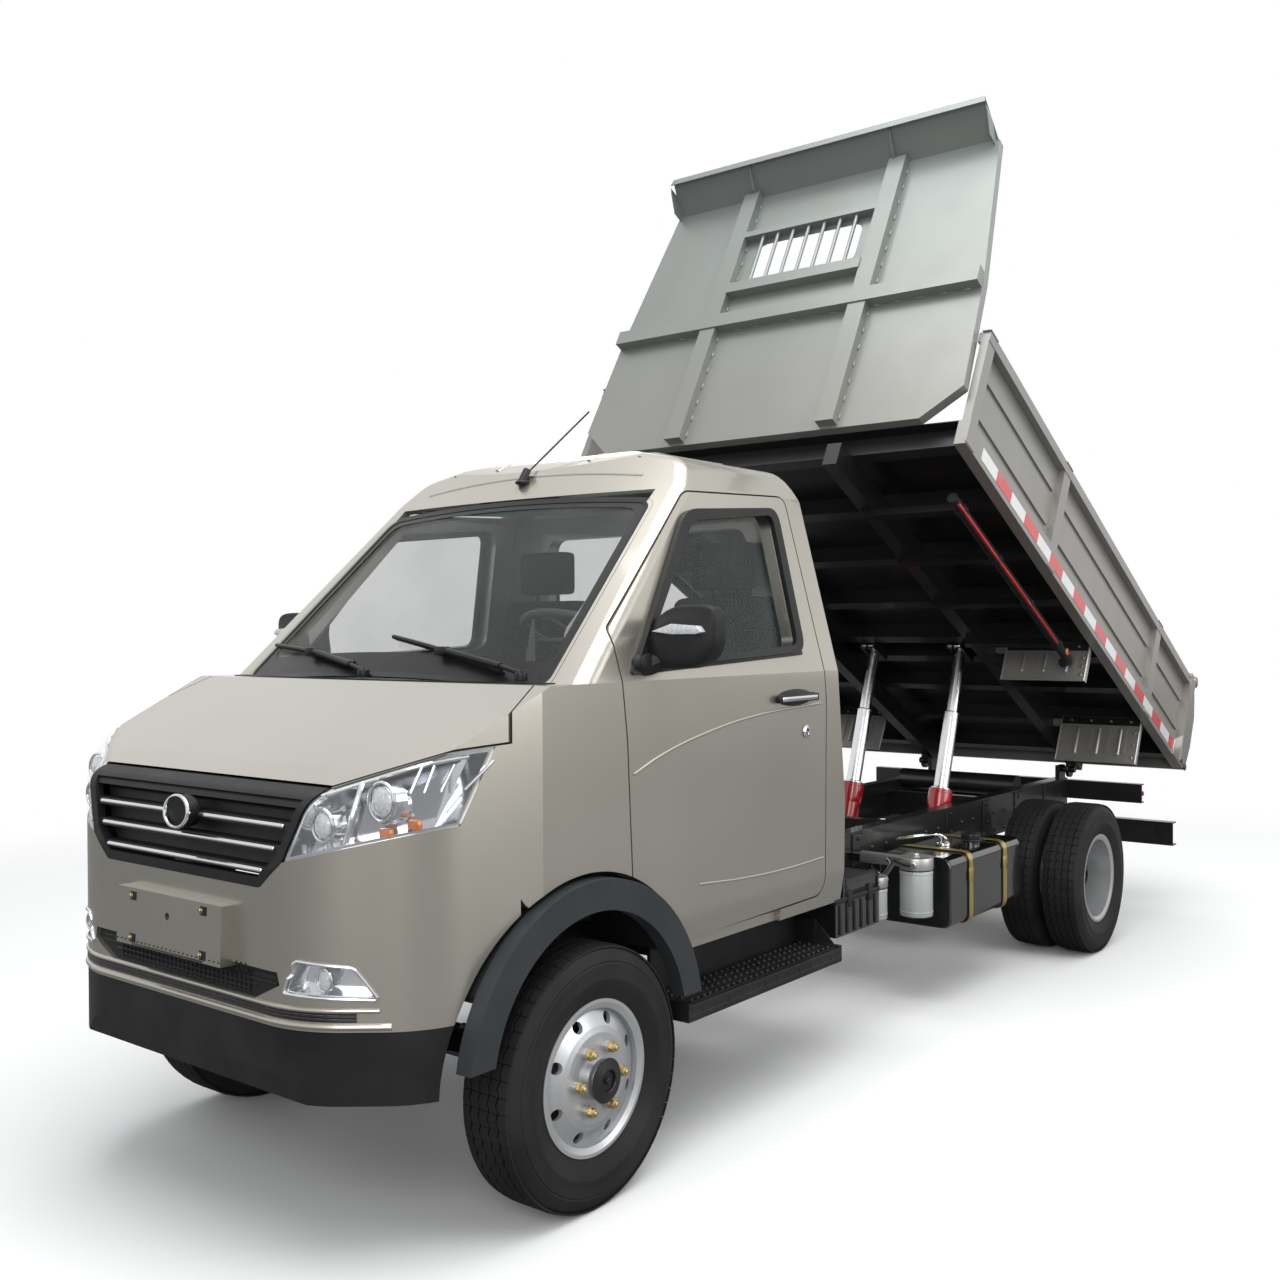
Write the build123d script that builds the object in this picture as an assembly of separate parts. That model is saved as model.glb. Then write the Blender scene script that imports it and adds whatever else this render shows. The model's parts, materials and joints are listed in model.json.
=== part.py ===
from build123d import *
import os
from math import atan2, cos, degrees, hypot, radians, sin

# Light dump truck: short-nosed single cab, ladder frame, twin rear tyres and a steel load bed that
# is raised by two telescopic cylinders. Millimetres. While it is modelled, y = 0 is the front axle,
# the front looks along -Y, +X is the vehicle's left and z = 0 is the ground. When the pieces are
# written they move along Y, so that the origin lies in the middle of the length.

# Running gear
WHEELBASE = 3360
TYRE_R = 330
TYRE_W = 168
RIM_FLANGE_R = 195
FRONT_TYRE_X = 672
REAR_TYRE_X = 786
TWIN_PITCH = 196
HUB_PCD_R = 82
STUDS = 6
BORE_GAP = 0.05

# Frame
RAIL_X = 370
RAIL_W = 60
RAIL_Z = 480
RAIL_H = 130
RAIL_T = 6
RAIL_FRONT = -470
RAIL_REAR = WHEELBASE + 930
SUB_FRONT = 1420
SUB_TOP = 664
FACE_GAP = 0.3

# Cab
CAB_HALF = 730
CAB_FLOOR_Z = 625
CAB_BASE_Z = 560
CAB_WALL = 55
SHUT_GAP = 5
GLASS_T = 5
BELT_Z = 1318
ROOF_CROWN_Z = 2022
CAB_REAR_TOP_Y = 1180
CAB_REAR_Y = 1283
NOSE_Y = -712
NOSE_FLAT_X = 346
NOSE_FLAT_Y = -694
PLATE_Z = 746
ARCH_Y = -14
ARCH_Z = 381
ARCH_R = 463
LINER_R = ARCH_R - 14
FLARE_R = 370
FLARE_X = 760
WINDSCREEN_R = 5000
SCREEN_BASE_Y = -75
SCREEN_BASE_Z = 1345
SCREEN_SLOPE = 43.2
NOSE_WALL = 22

# Load bed, in the lowered position about its hinge: y along the bed, z up from the hinge
HINGE_Y = WHEELBASE + 860
HINGE_Z = 715
TILT = 27.9
BED_REAR = 106
BED_LEN = 2882
BED_HALF = 918
FLOOR_HALF = BED_HALF - 46
HEAD_TOP_HALF = BED_HALF - 135
BED_BASE = 100
FLOOR_TOP = 202
FLOOR_T = 4
SIDE_TOP = 589
SILL_X = 408
SILL_W = 60
SILL_Z0 = 35
SILL_Z1 = 128
HINGE_PIN_R = 16
REAR_POST_Y = 150
GATE_Y = 176
GATE_Z = 600
GATE_PIN_R = 14
HEAD_DEPTH = 40

# Lift cylinders
CYL_X = 227
CYL_FOOT_Y = WHEELBASE - 434
CYL_FOOT_Z = 300
CYL_EYE_S = 1225
CYL_EYE_N = 45
BARREL_R = 47
STAGE_R = 34
ROD_R = 27
CYL_PIN_R = 20
CYL_EYE_ALONG = CYL_EYE_S - BED_REAR
CYL_EYE_UP = CYL_EYE_N + BED_BASE
CYL_EYE_REST = (HINGE_Y - CYL_EYE_ALONG * cos(radians(TILT)) + CYL_EYE_UP * sin(radians(TILT)),
                HINGE_Z + CYL_EYE_ALONG * sin(radians(TILT)) + CYL_EYE_UP * cos(radians(TILT)))

# Steering and seats
FRONT_PIVOT_X = 560
KINGPIN_R = 14
STEER_ARM = 150
WHEEL_CENTRE = (350, 424, 1431)
WHEEL_LEAN = 22.4
STEER_R = 186
SEAT_Z = 890


def profile(points):
    """Closed outline from corners (a, b, corner radius)."""
    corners = [(a, b) for a, b, r in points]
    radii = [r for a, b, r in points]
    if any(radii):
        return make_face(FilletPolyline(*corners, radius=radii, close=True))
    return make_face(Polyline(*corners, close=True))


def sharp(points):
    """Corners (a, b) with no rounding."""
    return [(a, b, 0) for a, b in points]


def side_slab(points, x0, x1):
    """Outline of (y, z) corners, solid from x0 to x1."""
    return extrude(Plane.YZ.offset(x0) * profile(points), amount=x1 - x0)


def front_slab(points, y0, y1):
    """Outline of (x, z) corners, solid from y0 to y1."""
    return extrude(Plane.XZ.offset(-y1) * profile(points), amount=y1 - y0)


def plan_slab(points, z0, z1):
    """Outline of (x, y) corners, solid from z0 to z1."""
    return extrude(Plane.XY.offset(z0) * profile(points), amount=z1 - z0)


def block(x0, x1, y0, y1, z0, z1):
    """Box between two corners."""
    centre = ((x0 + x1) / 2, (y0 + y1) / 2, (z0 + z1) / 2)
    return Pos(*centre) * Box(abs(x1 - x0), abs(y1 - y0), abs(z1 - z0))


def bar(start, end, radius):
    """Round bar between two points."""
    a, b = Vector(*start), Vector(*end)
    plane = Plane(origin=a, z_dir=b - a)
    return extrude(plane * Circle(radius), amount=(b - a).length)


def cross_bar(x0, x1, y, z, radius):
    """Round bar along X."""
    return bar((min(x0, x1), y, z), (max(x0, x1), y, z), radius)


def flipped(shape):
    """The same shape on the other side of the truck."""
    return mirror(shape, about=Plane.YZ)


def spun(points, x):
    """Outline of (x, radius) corners turned about an axis along X through the origin."""
    face = Plane.XY * profile(points)
    return Pos(x, 0, 0) * revolve(face, axis=Axis.X, revolution_arc=360)


# Cab envelope: where a side outline, a cross-section and a plan outline all hold


def lower_cab(inset):
    """Nose, wings and body below the belt line."""
    side = profile([
        (NOSE_Y, CAB_BASE_Z - 260, 0),
        (NOSE_Y, 800, 120),
        (-668, 1072, 60),
        (-545, 1135, 260),
        (-150, BELT_Z, 0),
        (CAB_REAR_Y - 42, BELT_Z, 0),
        (CAB_REAR_Y, 890, 0),
        (CAB_REAR_Y - 18, CAB_BASE_Z - 260, 0),
    ])
    half = [(677, CAB_BASE_Z - 260, 0), (CAB_HALF, 660, 200), (CAB_HALF, BELT_Z, 0)]
    section = profile(half + [(-x, z, r) for x, z, r in reversed(half)])
    front = [(455, NOSE_FLAT_Y, 300), (690, -505, 260), (CAB_HALF, -180, 0), (CAB_HALF, CAB_REAR_Y, 0)]
    plan = profile(front + [(-x, y, r) for x, y, r in reversed(front)])
    faces = [offset(face, -inset) if inset else face for face in (side, section, plan)]
    solid = extrude(Plane.YZ * faces[0], amount=CAB_HALF + 50, both=True)
    solid &= extrude(Plane.XZ * faces[1], amount=2000, both=True)
    return solid & extrude(Plane.XY * faces[2], amount=2400)


SCREEN_ALONG = Vector(0, cos(radians(SCREEN_SLOPE)), sin(radians(SCREEN_SLOPE)))
SCREEN_OUT = Vector(0, -sin(radians(SCREEN_SLOPE)), cos(radians(SCREEN_SLOPE)))
SCREEN_BASE = Vector(0, SCREEN_BASE_Y, SCREEN_BASE_Z)
ROOF_CUT_Z = 1862


def upper_cab(inset, bottom=BELT_Z):
    """Pillars and roof above the belt line."""
    side = profile([
        (-260 - (BELT_Z - bottom) * 788 / 677, bottom - 60, 0),
        (528, 1935, 150),
        (700, ROOF_CROWN_Z, 300),
        (1130, ROOF_CROWN_Z, 70),
        (CAB_REAR_TOP_Y, 1900, 60),
        (CAB_REAR_Y - 36, bottom - 60, 0),
    ])
    half = [(CAB_HALF + 11, BELT_Z - 60, 0), (621, 1868, 40), (560, 1962, 120),
            (330, ROOF_CROWN_Z - 14, 500)]
    if bottom < BELT_Z:
        half = [(CAB_HALF + 11, bottom - 60, 0)] + half
    section = profile(half + [(-x, z, r) for x, z, r in reversed(half)])
    faces = [offset(face, -inset) if inset else face for face in (side, section)]
    solid = extrude(Plane.YZ * faces[0], amount=CAB_HALF + 50, both=True)
    solid &= extrude(Plane.XZ * faces[1], amount=2000, both=True)
    across = Plane(origin=SCREEN_BASE, x_dir=(1, 0, 0), z_dir=SCREEN_ALONG)
    bow = across * (Pos(0, WINDSCREEN_R) * Circle(WINDSCREEN_R - inset))
    solid &= extrude(bow, amount=1400, both=True)
    if bottom == BELT_Z:
        solid &= block(-900, 900, -400, 1400, BELT_Z, 2200)
    return solid


def screen_prism(x_base, x_top, t0, t1, corner):
    """Block square to the windscreen; t runs up the glass from its base."""
    outline = profile([(-x_base, t0, corner), (x_base, t0, corner), (x_top, t1, corner),
                       (-x_top, t1, corner)])
    return extrude(Plane(origin=SCREEN_BASE, x_dir=(1, 0, 0), z_dir=SCREEN_OUT) * outline,
                   amount=160, both=True)


DOOR = [(368, 594, 25), (1151, 604, 50), (1163, 1224, 260), (1088, 1874, 35), (545, 1850, 60),
        (112, 1448, 40), (148, 1166, 300), (172, 700, 0)]
WINDOW = [(178, 1348, 20), (520, 1786, 45), (1000, 1826, 55), (1022, 1384, 45)]
ARCH_CUT = Pos(0, ARCH_Y, ARCH_Z) * Rot(0, 90, 0) * Cylinder(ARCH_R, 2000)


def outline_slab(face, x0, x1):
    """Face drawn on (y, z), solid from x0 to x1."""
    return extrude(Plane.YZ.offset(x0) * face, amount=x1 - x0)


def pillar_edges(solid, low, high):
    """Long edges that climb at the windscreen's sides."""
    return [edge for edge in solid.edges() if edge.length > 600 and abs(edge.center().X) > 600
            and low < edge.center().Y < high and edge.bounding_box().size.Z > 400]


NODES = {}


def keep(name, *shapes):
    """Adds a named piece of one or more solids."""
    solids = [solid for shape in shapes for solid in shape.solids()]
    NODES[name] = Compound(children=solids)


# Cab shell and its panels
outer_low = lower_cab(0)
outer_up = upper_cab(0)
outer_up = fillet(pillar_edges(outer_up, 100, 400), 45)
inner_low = lower_cab(CAB_WALL)
inner_up = upper_cab(CAB_WALL, BELT_Z - 240)
nose_inner = lower_cab(NOSE_WALL)
offset_low = lower_cab(-FACE_GAP)
offset_up = upper_cab(-FACE_GAP)

NOSE_END_Y = 185
body_low = outer_low - inner_low - inner_up
nose = (outer_low & block(-900, 900, -900, NOSE_END_Y, 300, BELT_Z + 1)) - nose_inner - inner_up
roof_shell = outer_up - inner_up

door_face = profile(DOOR)
window_face = profile(WINDOW)
door_hole = outline_slab(offset(door_face, SHUT_GAP), -900, 900)
door_block = outline_slab(door_face, 500, 900) - ARCH_CUT
window_cut = outline_slab(window_face, -900, 900)
screen_cut = screen_prism(628, 556, -18, 735, 45)
rear_window = [(-470, 1400, 50), (470, 1400, 50), (440, 1790, 50), (-440, 1790, 50)]
rear_window_cut = front_slab(rear_window, 900, 1500)
side_only = block(CAB_HALF - 190, 900, -900, 1400, 300, 2200)


def build_doors():
    """Skin and frame as thick as the whole door, window cut; glass behind the frame's face."""
    door = ((body_low & door_block & side_only) + (roof_shell & door_block & side_only)) - window_cut
    keep("door_left", door)
    keep("door_right", flipped(door))
    glass_shell = upper_cab(18) - upper_cab(18 + GLASS_T, BELT_Z - 100)
    glass = glass_shell & outline_slab(offset(window_face, -FACE_GAP), 500, 900)
    keep("door_left_glass", glass)
    keep("door_right_glass", flipped(glass))
    mirror_head = Pos(806, 300, 1432) * extrude(Plane.XZ * RectangleRounded(204, 150, 55), amount=-62)
    mirror_head = fillet(mirror_head.edges().filter_by(GeomType.LINE, reverse=True), 18)
    arm = bar((722, 205, 1352), (790, 330, 1400), 17) + bar((700, 190, 1352), (724, 206, 1352), 17)
    mirror_head = ((mirror_head + arm) - offset_up) - offset_low
    pull = block(737, 752, 872, 1070, 1228, 1250) + block(CAB_HALF, 737, 880, 908, 1230, 1248) \
        + block(CAB_HALF, 737, 1036, 1064, 1230, 1248)
    keep("door_left_fittings", mirror_head, pull)
    keep("door_right_fittings", flipped(mirror_head), flipped(pull))


def build_cab_shell():
    """Roof, rear wall, side frames, windscreen and rear window."""
    screen_shell = upper_cab(6) - upper_cab(6 + GLASS_T, BELT_Z - 100)
    windscreen = screen_shell & screen_prism(627.7, 555.7, -17.7, 734.7, 44.7)
    rear_glass = screen_shell & extrude(
        Plane.XZ.offset(-1500) * offset(profile(rear_window), -FACE_GAP), amount=600)
    keep("cab_glass", windscreen, rear_glass)
    roof_zone = block(-900, 900, -400, 1400, ROOF_CUT_Z, 2200)
    rear_y = CAB_REAR_Y - CAB_WALL - 3
    rear_zone = side_slab(sharp([(rear_y, 300), (rear_y, 890), (rear_y - 102, ROOF_CUT_Z),
                                 (1400, ROOF_CUT_Z), (1400, 300)]), -640, 640)
    body = body_low & block(-900, 900, NOSE_END_Y, 1400, CAB_BASE_Z, BELT_Z + 1)
    frame_up = roof_shell - screen_cut
    side_up = ((frame_up - roof_zone) - rear_zone) - door_hole
    side_low = ((body - rear_zone) - door_hole) & block(-900, 900, 900, 1400, CAB_BASE_Z, BELT_Z + 1)
    sill = block(612, 700, 372, 1220, CAB_BASE_Z, 588) + block(612, 655, 430, 1220, 588, CAB_FLOOR_Z)
    sill -= ARCH_CUT
    side = (side_up & side_only) + (side_low & side_only) + sill
    keep("cab_sides", side, flipped(side))
    keep("cab_roof", (frame_up & roof_zone) - door_hole)
    keep("cab_rear_wall", (((frame_up + body) & rear_zone) - rear_window_cut)
         - block(-420, 420, 900, 1400, 0, RAIL_Z + RAIL_H + 8))


LAMP = sharp([(404, 934), (760, 1026), (760, 1201), (480, 1098)])
LAMP_SIDE = sharp([(-900, 880), (-501, 880), (-282, 1250), (-900, 1250)])
FOG = [(402, 640, 12), (600, 632, 12), (556, 704, 12), (436, 716, 12)]
GRILLE = [(-324, 868, 25), (324, 868, 25), (398, 930, 20), (474, 1098, 8), (-474, 1098, 8),
          (-398, 930, 20)]
MESH = sharp([(-392, 655), (-300, 612), (300, 612), (392, 655), (384, 684), (-384, 684)])
BONNET_FRONT = sharp([(-760, 1207), (-478, 1104), (478, 1104), (760, 1207), (760, 1400), (-760, 1400)])
BUMPER_TOP = sharp([(-760, 1026), (-404, 934), (-328, 900), (328, 900), (404, 934), (760, 1026),
                    (760, CAB_BASE_Z), (-760, CAB_BASE_Z)])
BUMPER_SIDE = sharp([(-900, 300), (-200, 300), (-200, 770), (-236, 802), (-421, 1010), (-421, 1100),
                     (-900, 1100)])


def lamp_block(by):
    """Solid inside both outlines of the left headlamp, grown by a distance."""
    faces = [offset(profile(points), by) if by else profile(points) for points in (LAMP, LAMP_SIDE)]
    return extrude(Plane.XZ.offset(250) * faces[0], amount=650) & outline_slab(faces[1], 200, 800)


def face_block(points, by=0.0, y1=-250):
    """Outline seen from the front, solid from ahead of the nose back to y1."""
    face = profile(points)
    face = offset(face, by) if by else face
    return extrude(Plane.XZ.offset(-y1) * face, amount=650)


def build_nose():
    """Bonnet, wings, bumper, valance, grille and lamps, cut from one nose shell."""
    rear_edge = make_face(Line((652, -92), (729, -318)) + Line((729, -318), (760, -330))
                          + Line((760, -330), (760, -900)) + Line((760, -900), (-760, -900))
                          + Line((-760, -900), (-760, -330)) + Line((-760, -330), (-729, -318))
                          + Line((-729, -318), (-652, -92))
                          + ThreePointArc((-652, -92), (0, -132), (652, -92)))
    bonnet_plan = extrude(Plane.XY.offset(1000) * rear_edge, amount=500)
    bonnet_front = front_slab(BONNET_FRONT, -900, 300)
    bonnet = nose & bonnet_plan & bonnet_front
    keep("bonnet", bonnet)
    plan_gap = extrude(Plane.XY.offset(1000) * offset(rear_edge, SHUT_GAP), amount=500)
    bonnet_room = plan_gap & front_slab([(a, b - SHUT_GAP, 0) for a, b, r in BONNET_FRONT], -900, 300)
    lamps = lamp_block(0.0)
    lamps += flipped(lamps)
    front_zone = side_slab(BUMPER_SIDE, -800, 800)
    bumper_zone = front_zone & face_block(BUMPER_TOP)
    cowl_room = block(-650, 650, -140, 300, 1200, 1400)
    grille_hole = face_block(GRILLE)
    wing = ((((nose - bonnet_room) - lamps) - front_zone) - cowl_room - ARCH_CUT) - door_hole
    wing &= block(300, 800, -900, NOSE_END_Y, CAB_BASE_Z + 30, BELT_Z + 1)
    keep("wings", wing, flipped(wing))
    fogs = face_block(FOG)
    fogs += flipped(fogs)
    bumper = ((nose & bumper_zone) - lamps - grille_hole - ARCH_CUT) - fogs - face_block(MESH)
    bumper &= block(-800, 800, -900, -150, CAB_BASE_Z, 1100)
    plate = Pos(0, -706, PLATE_Z) * Rot(X=-2.2) * Box(444, 44, 141)
    bumper += plate - nose_inner
    for x in (-150, 150):
        for z in (-52, 52):
            slot = extrude(SlotOverall(26, 8), amount=90, both=True)
            bumper -= Pos(x, -722, PLATE_Z + z) * Rot(90, 0, 0) * slot
    bumper -= Pos(0, -722, PLATE_Z + 20) * Rot(90, 0, 0) * Cylinder(9, 180)
    keep("bumper", bumper)
    thick = (outer_low - inner_low) & front_zone & block(-800, 800, -900, -150, 395, CAB_BASE_Z - 1)
    wedge = side_slab(sharp([(-900, 380), (-668, 380), (-716, 520), (-900, 520)]), -800, 800)
    keep("bumper_valance", (thick - ARCH_CUT) - wedge)
    ring = (nose & face_block(GRILLE)) - face_block(GRILLE, -24)
    slat_shell = lower_cab(6) - lower_cab(40)
    opening = face_block(GRILLE, -23)
    slats = [slat_shell & opening & block(-500, 500, -900, -400, z - 9, z + 9)
             for z in (1064, 1012, 960, 908)]
    back = (lower_cab(40) - lower_cab(46)) & opening
    badge = Pos(0, -682, 1016) * Rot(96, 0, 0) * extrude(Ellipse(52, 40), amount=16, both=True)
    grille = ring + back + badge
    for slat in slats:
        grille += slat
    mesh_shell = lower_cab(12) - lower_cab(20)
    mesh_zone = face_block(MESH, -0.3)
    keep("grille", grille, mesh_shell & mesh_zone)
    lens_shell = lower_cab(1) - lower_cab(5)
    bowl_outer, bowl_inner = lower_cab(5.3), lower_cab(62)
    lamp = lamp_block(-2)
    bowl = ((bowl_outer - lower_cab(68)) & lamp_block(0)) - ((bowl_outer - bowl_inner) & lamp_block(-8))
    projector = bar((598, -512, 1062), (598, -560, 1062), 40) & bowl_outer
    fog_lamp = face_block(FOG, -0.5)
    fog_bowl = ((bowl_outer - lower_cab(50)) & fog_lamp) - ((bowl_outer - lower_cab(44))
                                                           & face_block(FOG, -6))
    keep("headlamps", bowl + projector, flipped(bowl + projector), fog_bowl, flipped(fog_bowl))
    lens, fog_lens = lens_shell & lamp, lens_shell & fog_lamp
    keep("lamp_lenses", lens, flipped(lens), fog_lens, flipped(fog_lens))
    cowl = block(-648, 648, -134, 20, 1290, BELT_Z + 2) - (plan_gap & block(-800, 800, -900, 100, 1200, 1400))
    keep("cowl", cowl - offset_up)
    flare = Pos(0, ARCH_Y, ARCH_Z) * Rot(0, 90, 0) * (Cylinder(LINER_R, 46) - Cylinder(FLARE_R, 60))
    flare = Pos(FLARE_X - 23, 0, 0) * flare
    flare -= block(0, 900, -900, 900, -400, 458)
    keep("wheel_flares", flare, flipped(flare))


def channel(x_web, x_tip, y0, y1, z0, z1, wall=RAIL_T):
    """C-section along Y with its web at x_web."""
    inward = 1 if x_tip > x_web else -1
    return block(x_web, x_web + inward * wall, y0, y1, z0, z1) \
        + block(x_web, x_tip, y0, y1, z0, z0 + wall) + block(x_web, x_tip, y0, y1, z1 - wall, z1)


def leaf_pack(y, z, half, rise, leaves, leaf, x0, x1):
    """Leaf spring with its longest leaf on top; z is the underside in the middle."""
    top = z + leaves * leaf
    steps = [(half * (1 - 0.17 * i), top - i * leaf) for i in range(leaves)]
    curve = [h for h in (1.0, 0.75, 0.5, 0.25)]
    upper = [(-half * c, top + rise * c * c) for c in curve] + [(0, top)]
    upper += [(half * c, top + rise * c * c) for c in reversed(curve)]
    lower = []
    for reach, level in steps:
        lift = rise * (reach / half) ** 2
        lower.append((reach, level + lift))
        lower.append((reach, level + lift - leaf))
    outline = upper + lower[1:] + [(0, z)] + [(-a, b) for a, b in reversed(lower[1:])]
    return side_slab(sharp([(y + a, b) for a, b in outline]), x0, x1)


def build_frame():
    """Ladder frame with the subframe that carries the bed hinge and the cylinders."""
    rail = channel(RAIL_X, RAIL_X - RAIL_W, RAIL_FRONT, RAIL_REAR, RAIL_Z, RAIL_Z + RAIL_H)
    bracket = block(RAIL_X - RAIL_W + 6, NOSE_FLAT_X, NOSE_FLAT_Y + CAB_WALL + FACE_GAP, RAIL_FRONT + 15,
                    RAIL_Z + 1, RAIL_Z + RAIL_H - 1)
    keep("frame_rails", rail + bracket, flipped(rail + bracket))
    inner = RAIL_X - RAIL_T
    members = [block(-inner, inner, y - 28, y + 28, z0, RAIL_Z + RAIL_H - RAIL_T)
               for y, z0 in ((-420, 500), (760, 540), (1480, 500), (2200, 500), (WHEELBASE - 660, 500),
                             (WHEELBASE + 340, 486), (RAIL_REAR - 40, 486))]
    keep("cross_members", *members)
    sub = block(RAIL_X - RAIL_W, RAIL_X, SUB_FRONT, RAIL_REAR, RAIL_Z + RAIL_H, SUB_TOP)
    sub -= block(RAIL_X - RAIL_W + 5, RAIL_X - 5, SUB_FRONT - 1, RAIL_REAR + 1,
                 RAIL_Z + RAIL_H + 5, SUB_TOP - 5)
    foot = block(297, RAIL_X - RAIL_W, CYL_FOOT_Y - 46, CYL_FOOT_Y + 46, CYL_FOOT_Z - 34, SUB_TOP - 8)
    foot -= block(309, 340, CYL_FOOT_Y - 60, CYL_FOOT_Y + 60, 200, RAIL_Z + RAIL_H + FACE_GAP)
    left = sub + foot + cross_bar(RAIL_X - 20, SILL_X + 30, HINGE_Y, HINGE_Z, HINGE_PIN_R)
    left += cross_bar(0, 300, CYL_FOOT_Y, CYL_FOOT_Z, CYL_PIN_R)
    left += block(RAIL_X - 22, RAIL_X, HINGE_Y - 42, HINGE_Y + 42, SUB_TOP - 4, HINGE_Z + 20)
    left += cross_bar(0, RAIL_X - RAIL_W + 2, WHEELBASE + 400, SUB_TOP + 2, 52)
    left += block(0, RAIL_X - RAIL_W + 2, SUB_FRONT, SUB_FRONT + 60, RAIL_Z + RAIL_H + 10, SUB_TOP - 10)
    keep("subframe", left + flipped(left))


def build_axles():
    """Front beam, rear axle and the four leaf springs."""
    beam = block(0, FRONT_PIVOT_X - 18, -34, 34, 300, 312) + block(0, FRONT_PIVOT_X - 18, -34, 34, 343, 355) \
        + block(0, FRONT_PIVOT_X - 18, -8, 8, 300, 355)
    boss = Pos(FRONT_PIVOT_X, 0, 330) * Cylinder(26, 78)
    beam = (beam + boss) - Pos(FRONT_PIVOT_X, 0, 330) * Cylinder(KINGPIN_R + BORE_GAP, 200)
    keep("front_axle", beam + flipped(beam))
    tube = cross_bar(-520, 520, 0, 0, 50)
    stub = cross_bar(-748, 748, 0, 0, 32)
    ball = Sphere(128) & block(-110, 110, -140, 140, -140, 140)
    seat = block(RAIL_X - RAIL_W, RAIL_X, -50, 50, 0, 386 - TYRE_R)
    keep("rear_axle", Pos(0, WHEELBASE, TYRE_R) * (tube + stub + ball + seat + flipped(seat)))
    x0, x1 = RAIL_X - RAIL_W, RAIL_X
    for name, y, z, half, rise, leaves, leaf in (("front", 0, 355, 480, 48, 3, 10),
                                                 ("rear", WHEELBASE, 386, 500, 22, 5, 9)):
        pack = leaf_pack(y, z, half, rise, leaves, leaf, x0, x1)
        for end in (-1, 1):
            eye_y, eye_z = y + end * half, z + leaves * leaf + rise - 6
            pack += cross_bar(x0, x1, eye_y, eye_z, 16)
            pack += block(x0 + 6, x1 - 6, eye_y - 14, eye_y + 14, eye_z, RAIL_Z)
        for end in (-1, 1):
            clamp = y + end * 40
            pack += block(x0 - 9, x1 + 9, clamp - 7, clamp + 7, z + leaves * leaf - 2, z + leaves * leaf + 12)
        SPRINGS.append(pack)
    keep("leaf_springs", *[shape for pack in SPRINGS for shape in (pack, flipped(pack))])


def build_driveline():
    """Engine, gearbox, shaft and exhaust."""
    engine = block(-190, 190, -330, 80, 520, 980)
    gearbox = block(-105, 105, 79, 560, 425, 600)
    shaft = bar((0, 550, 500), (0, WHEELBASE - 136, 345), 32)
    pipe = bar((-150, 60, 545), (-235, 420, 408), 24) + bar((-235, 420, 408), (-250, 1150, 408), 24) \
        + bar((-250, 1150, 408), (-520, 1480, 440), 24)
    muffler = bar((-520, 1460, 440), (-520, 2060, 440), 88)
    tail = bar((-520, 2050, 440), (-520, 2560, 440), 24) + bar((-520, 2560, 440), (-640, 2680, 420), 24)
    for corner in ((-235, 420, 408), (-250, 1150, 408), (-520, 2560, 440)):
        pipe += Pos(*corner) * Sphere(24)
    hanger = block(-500, -RAIL_X, 1740, 1780, 520, 545)
    keep("driveline", engine + gearbox + shaft + pipe + muffler + tail + hanger)


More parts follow.
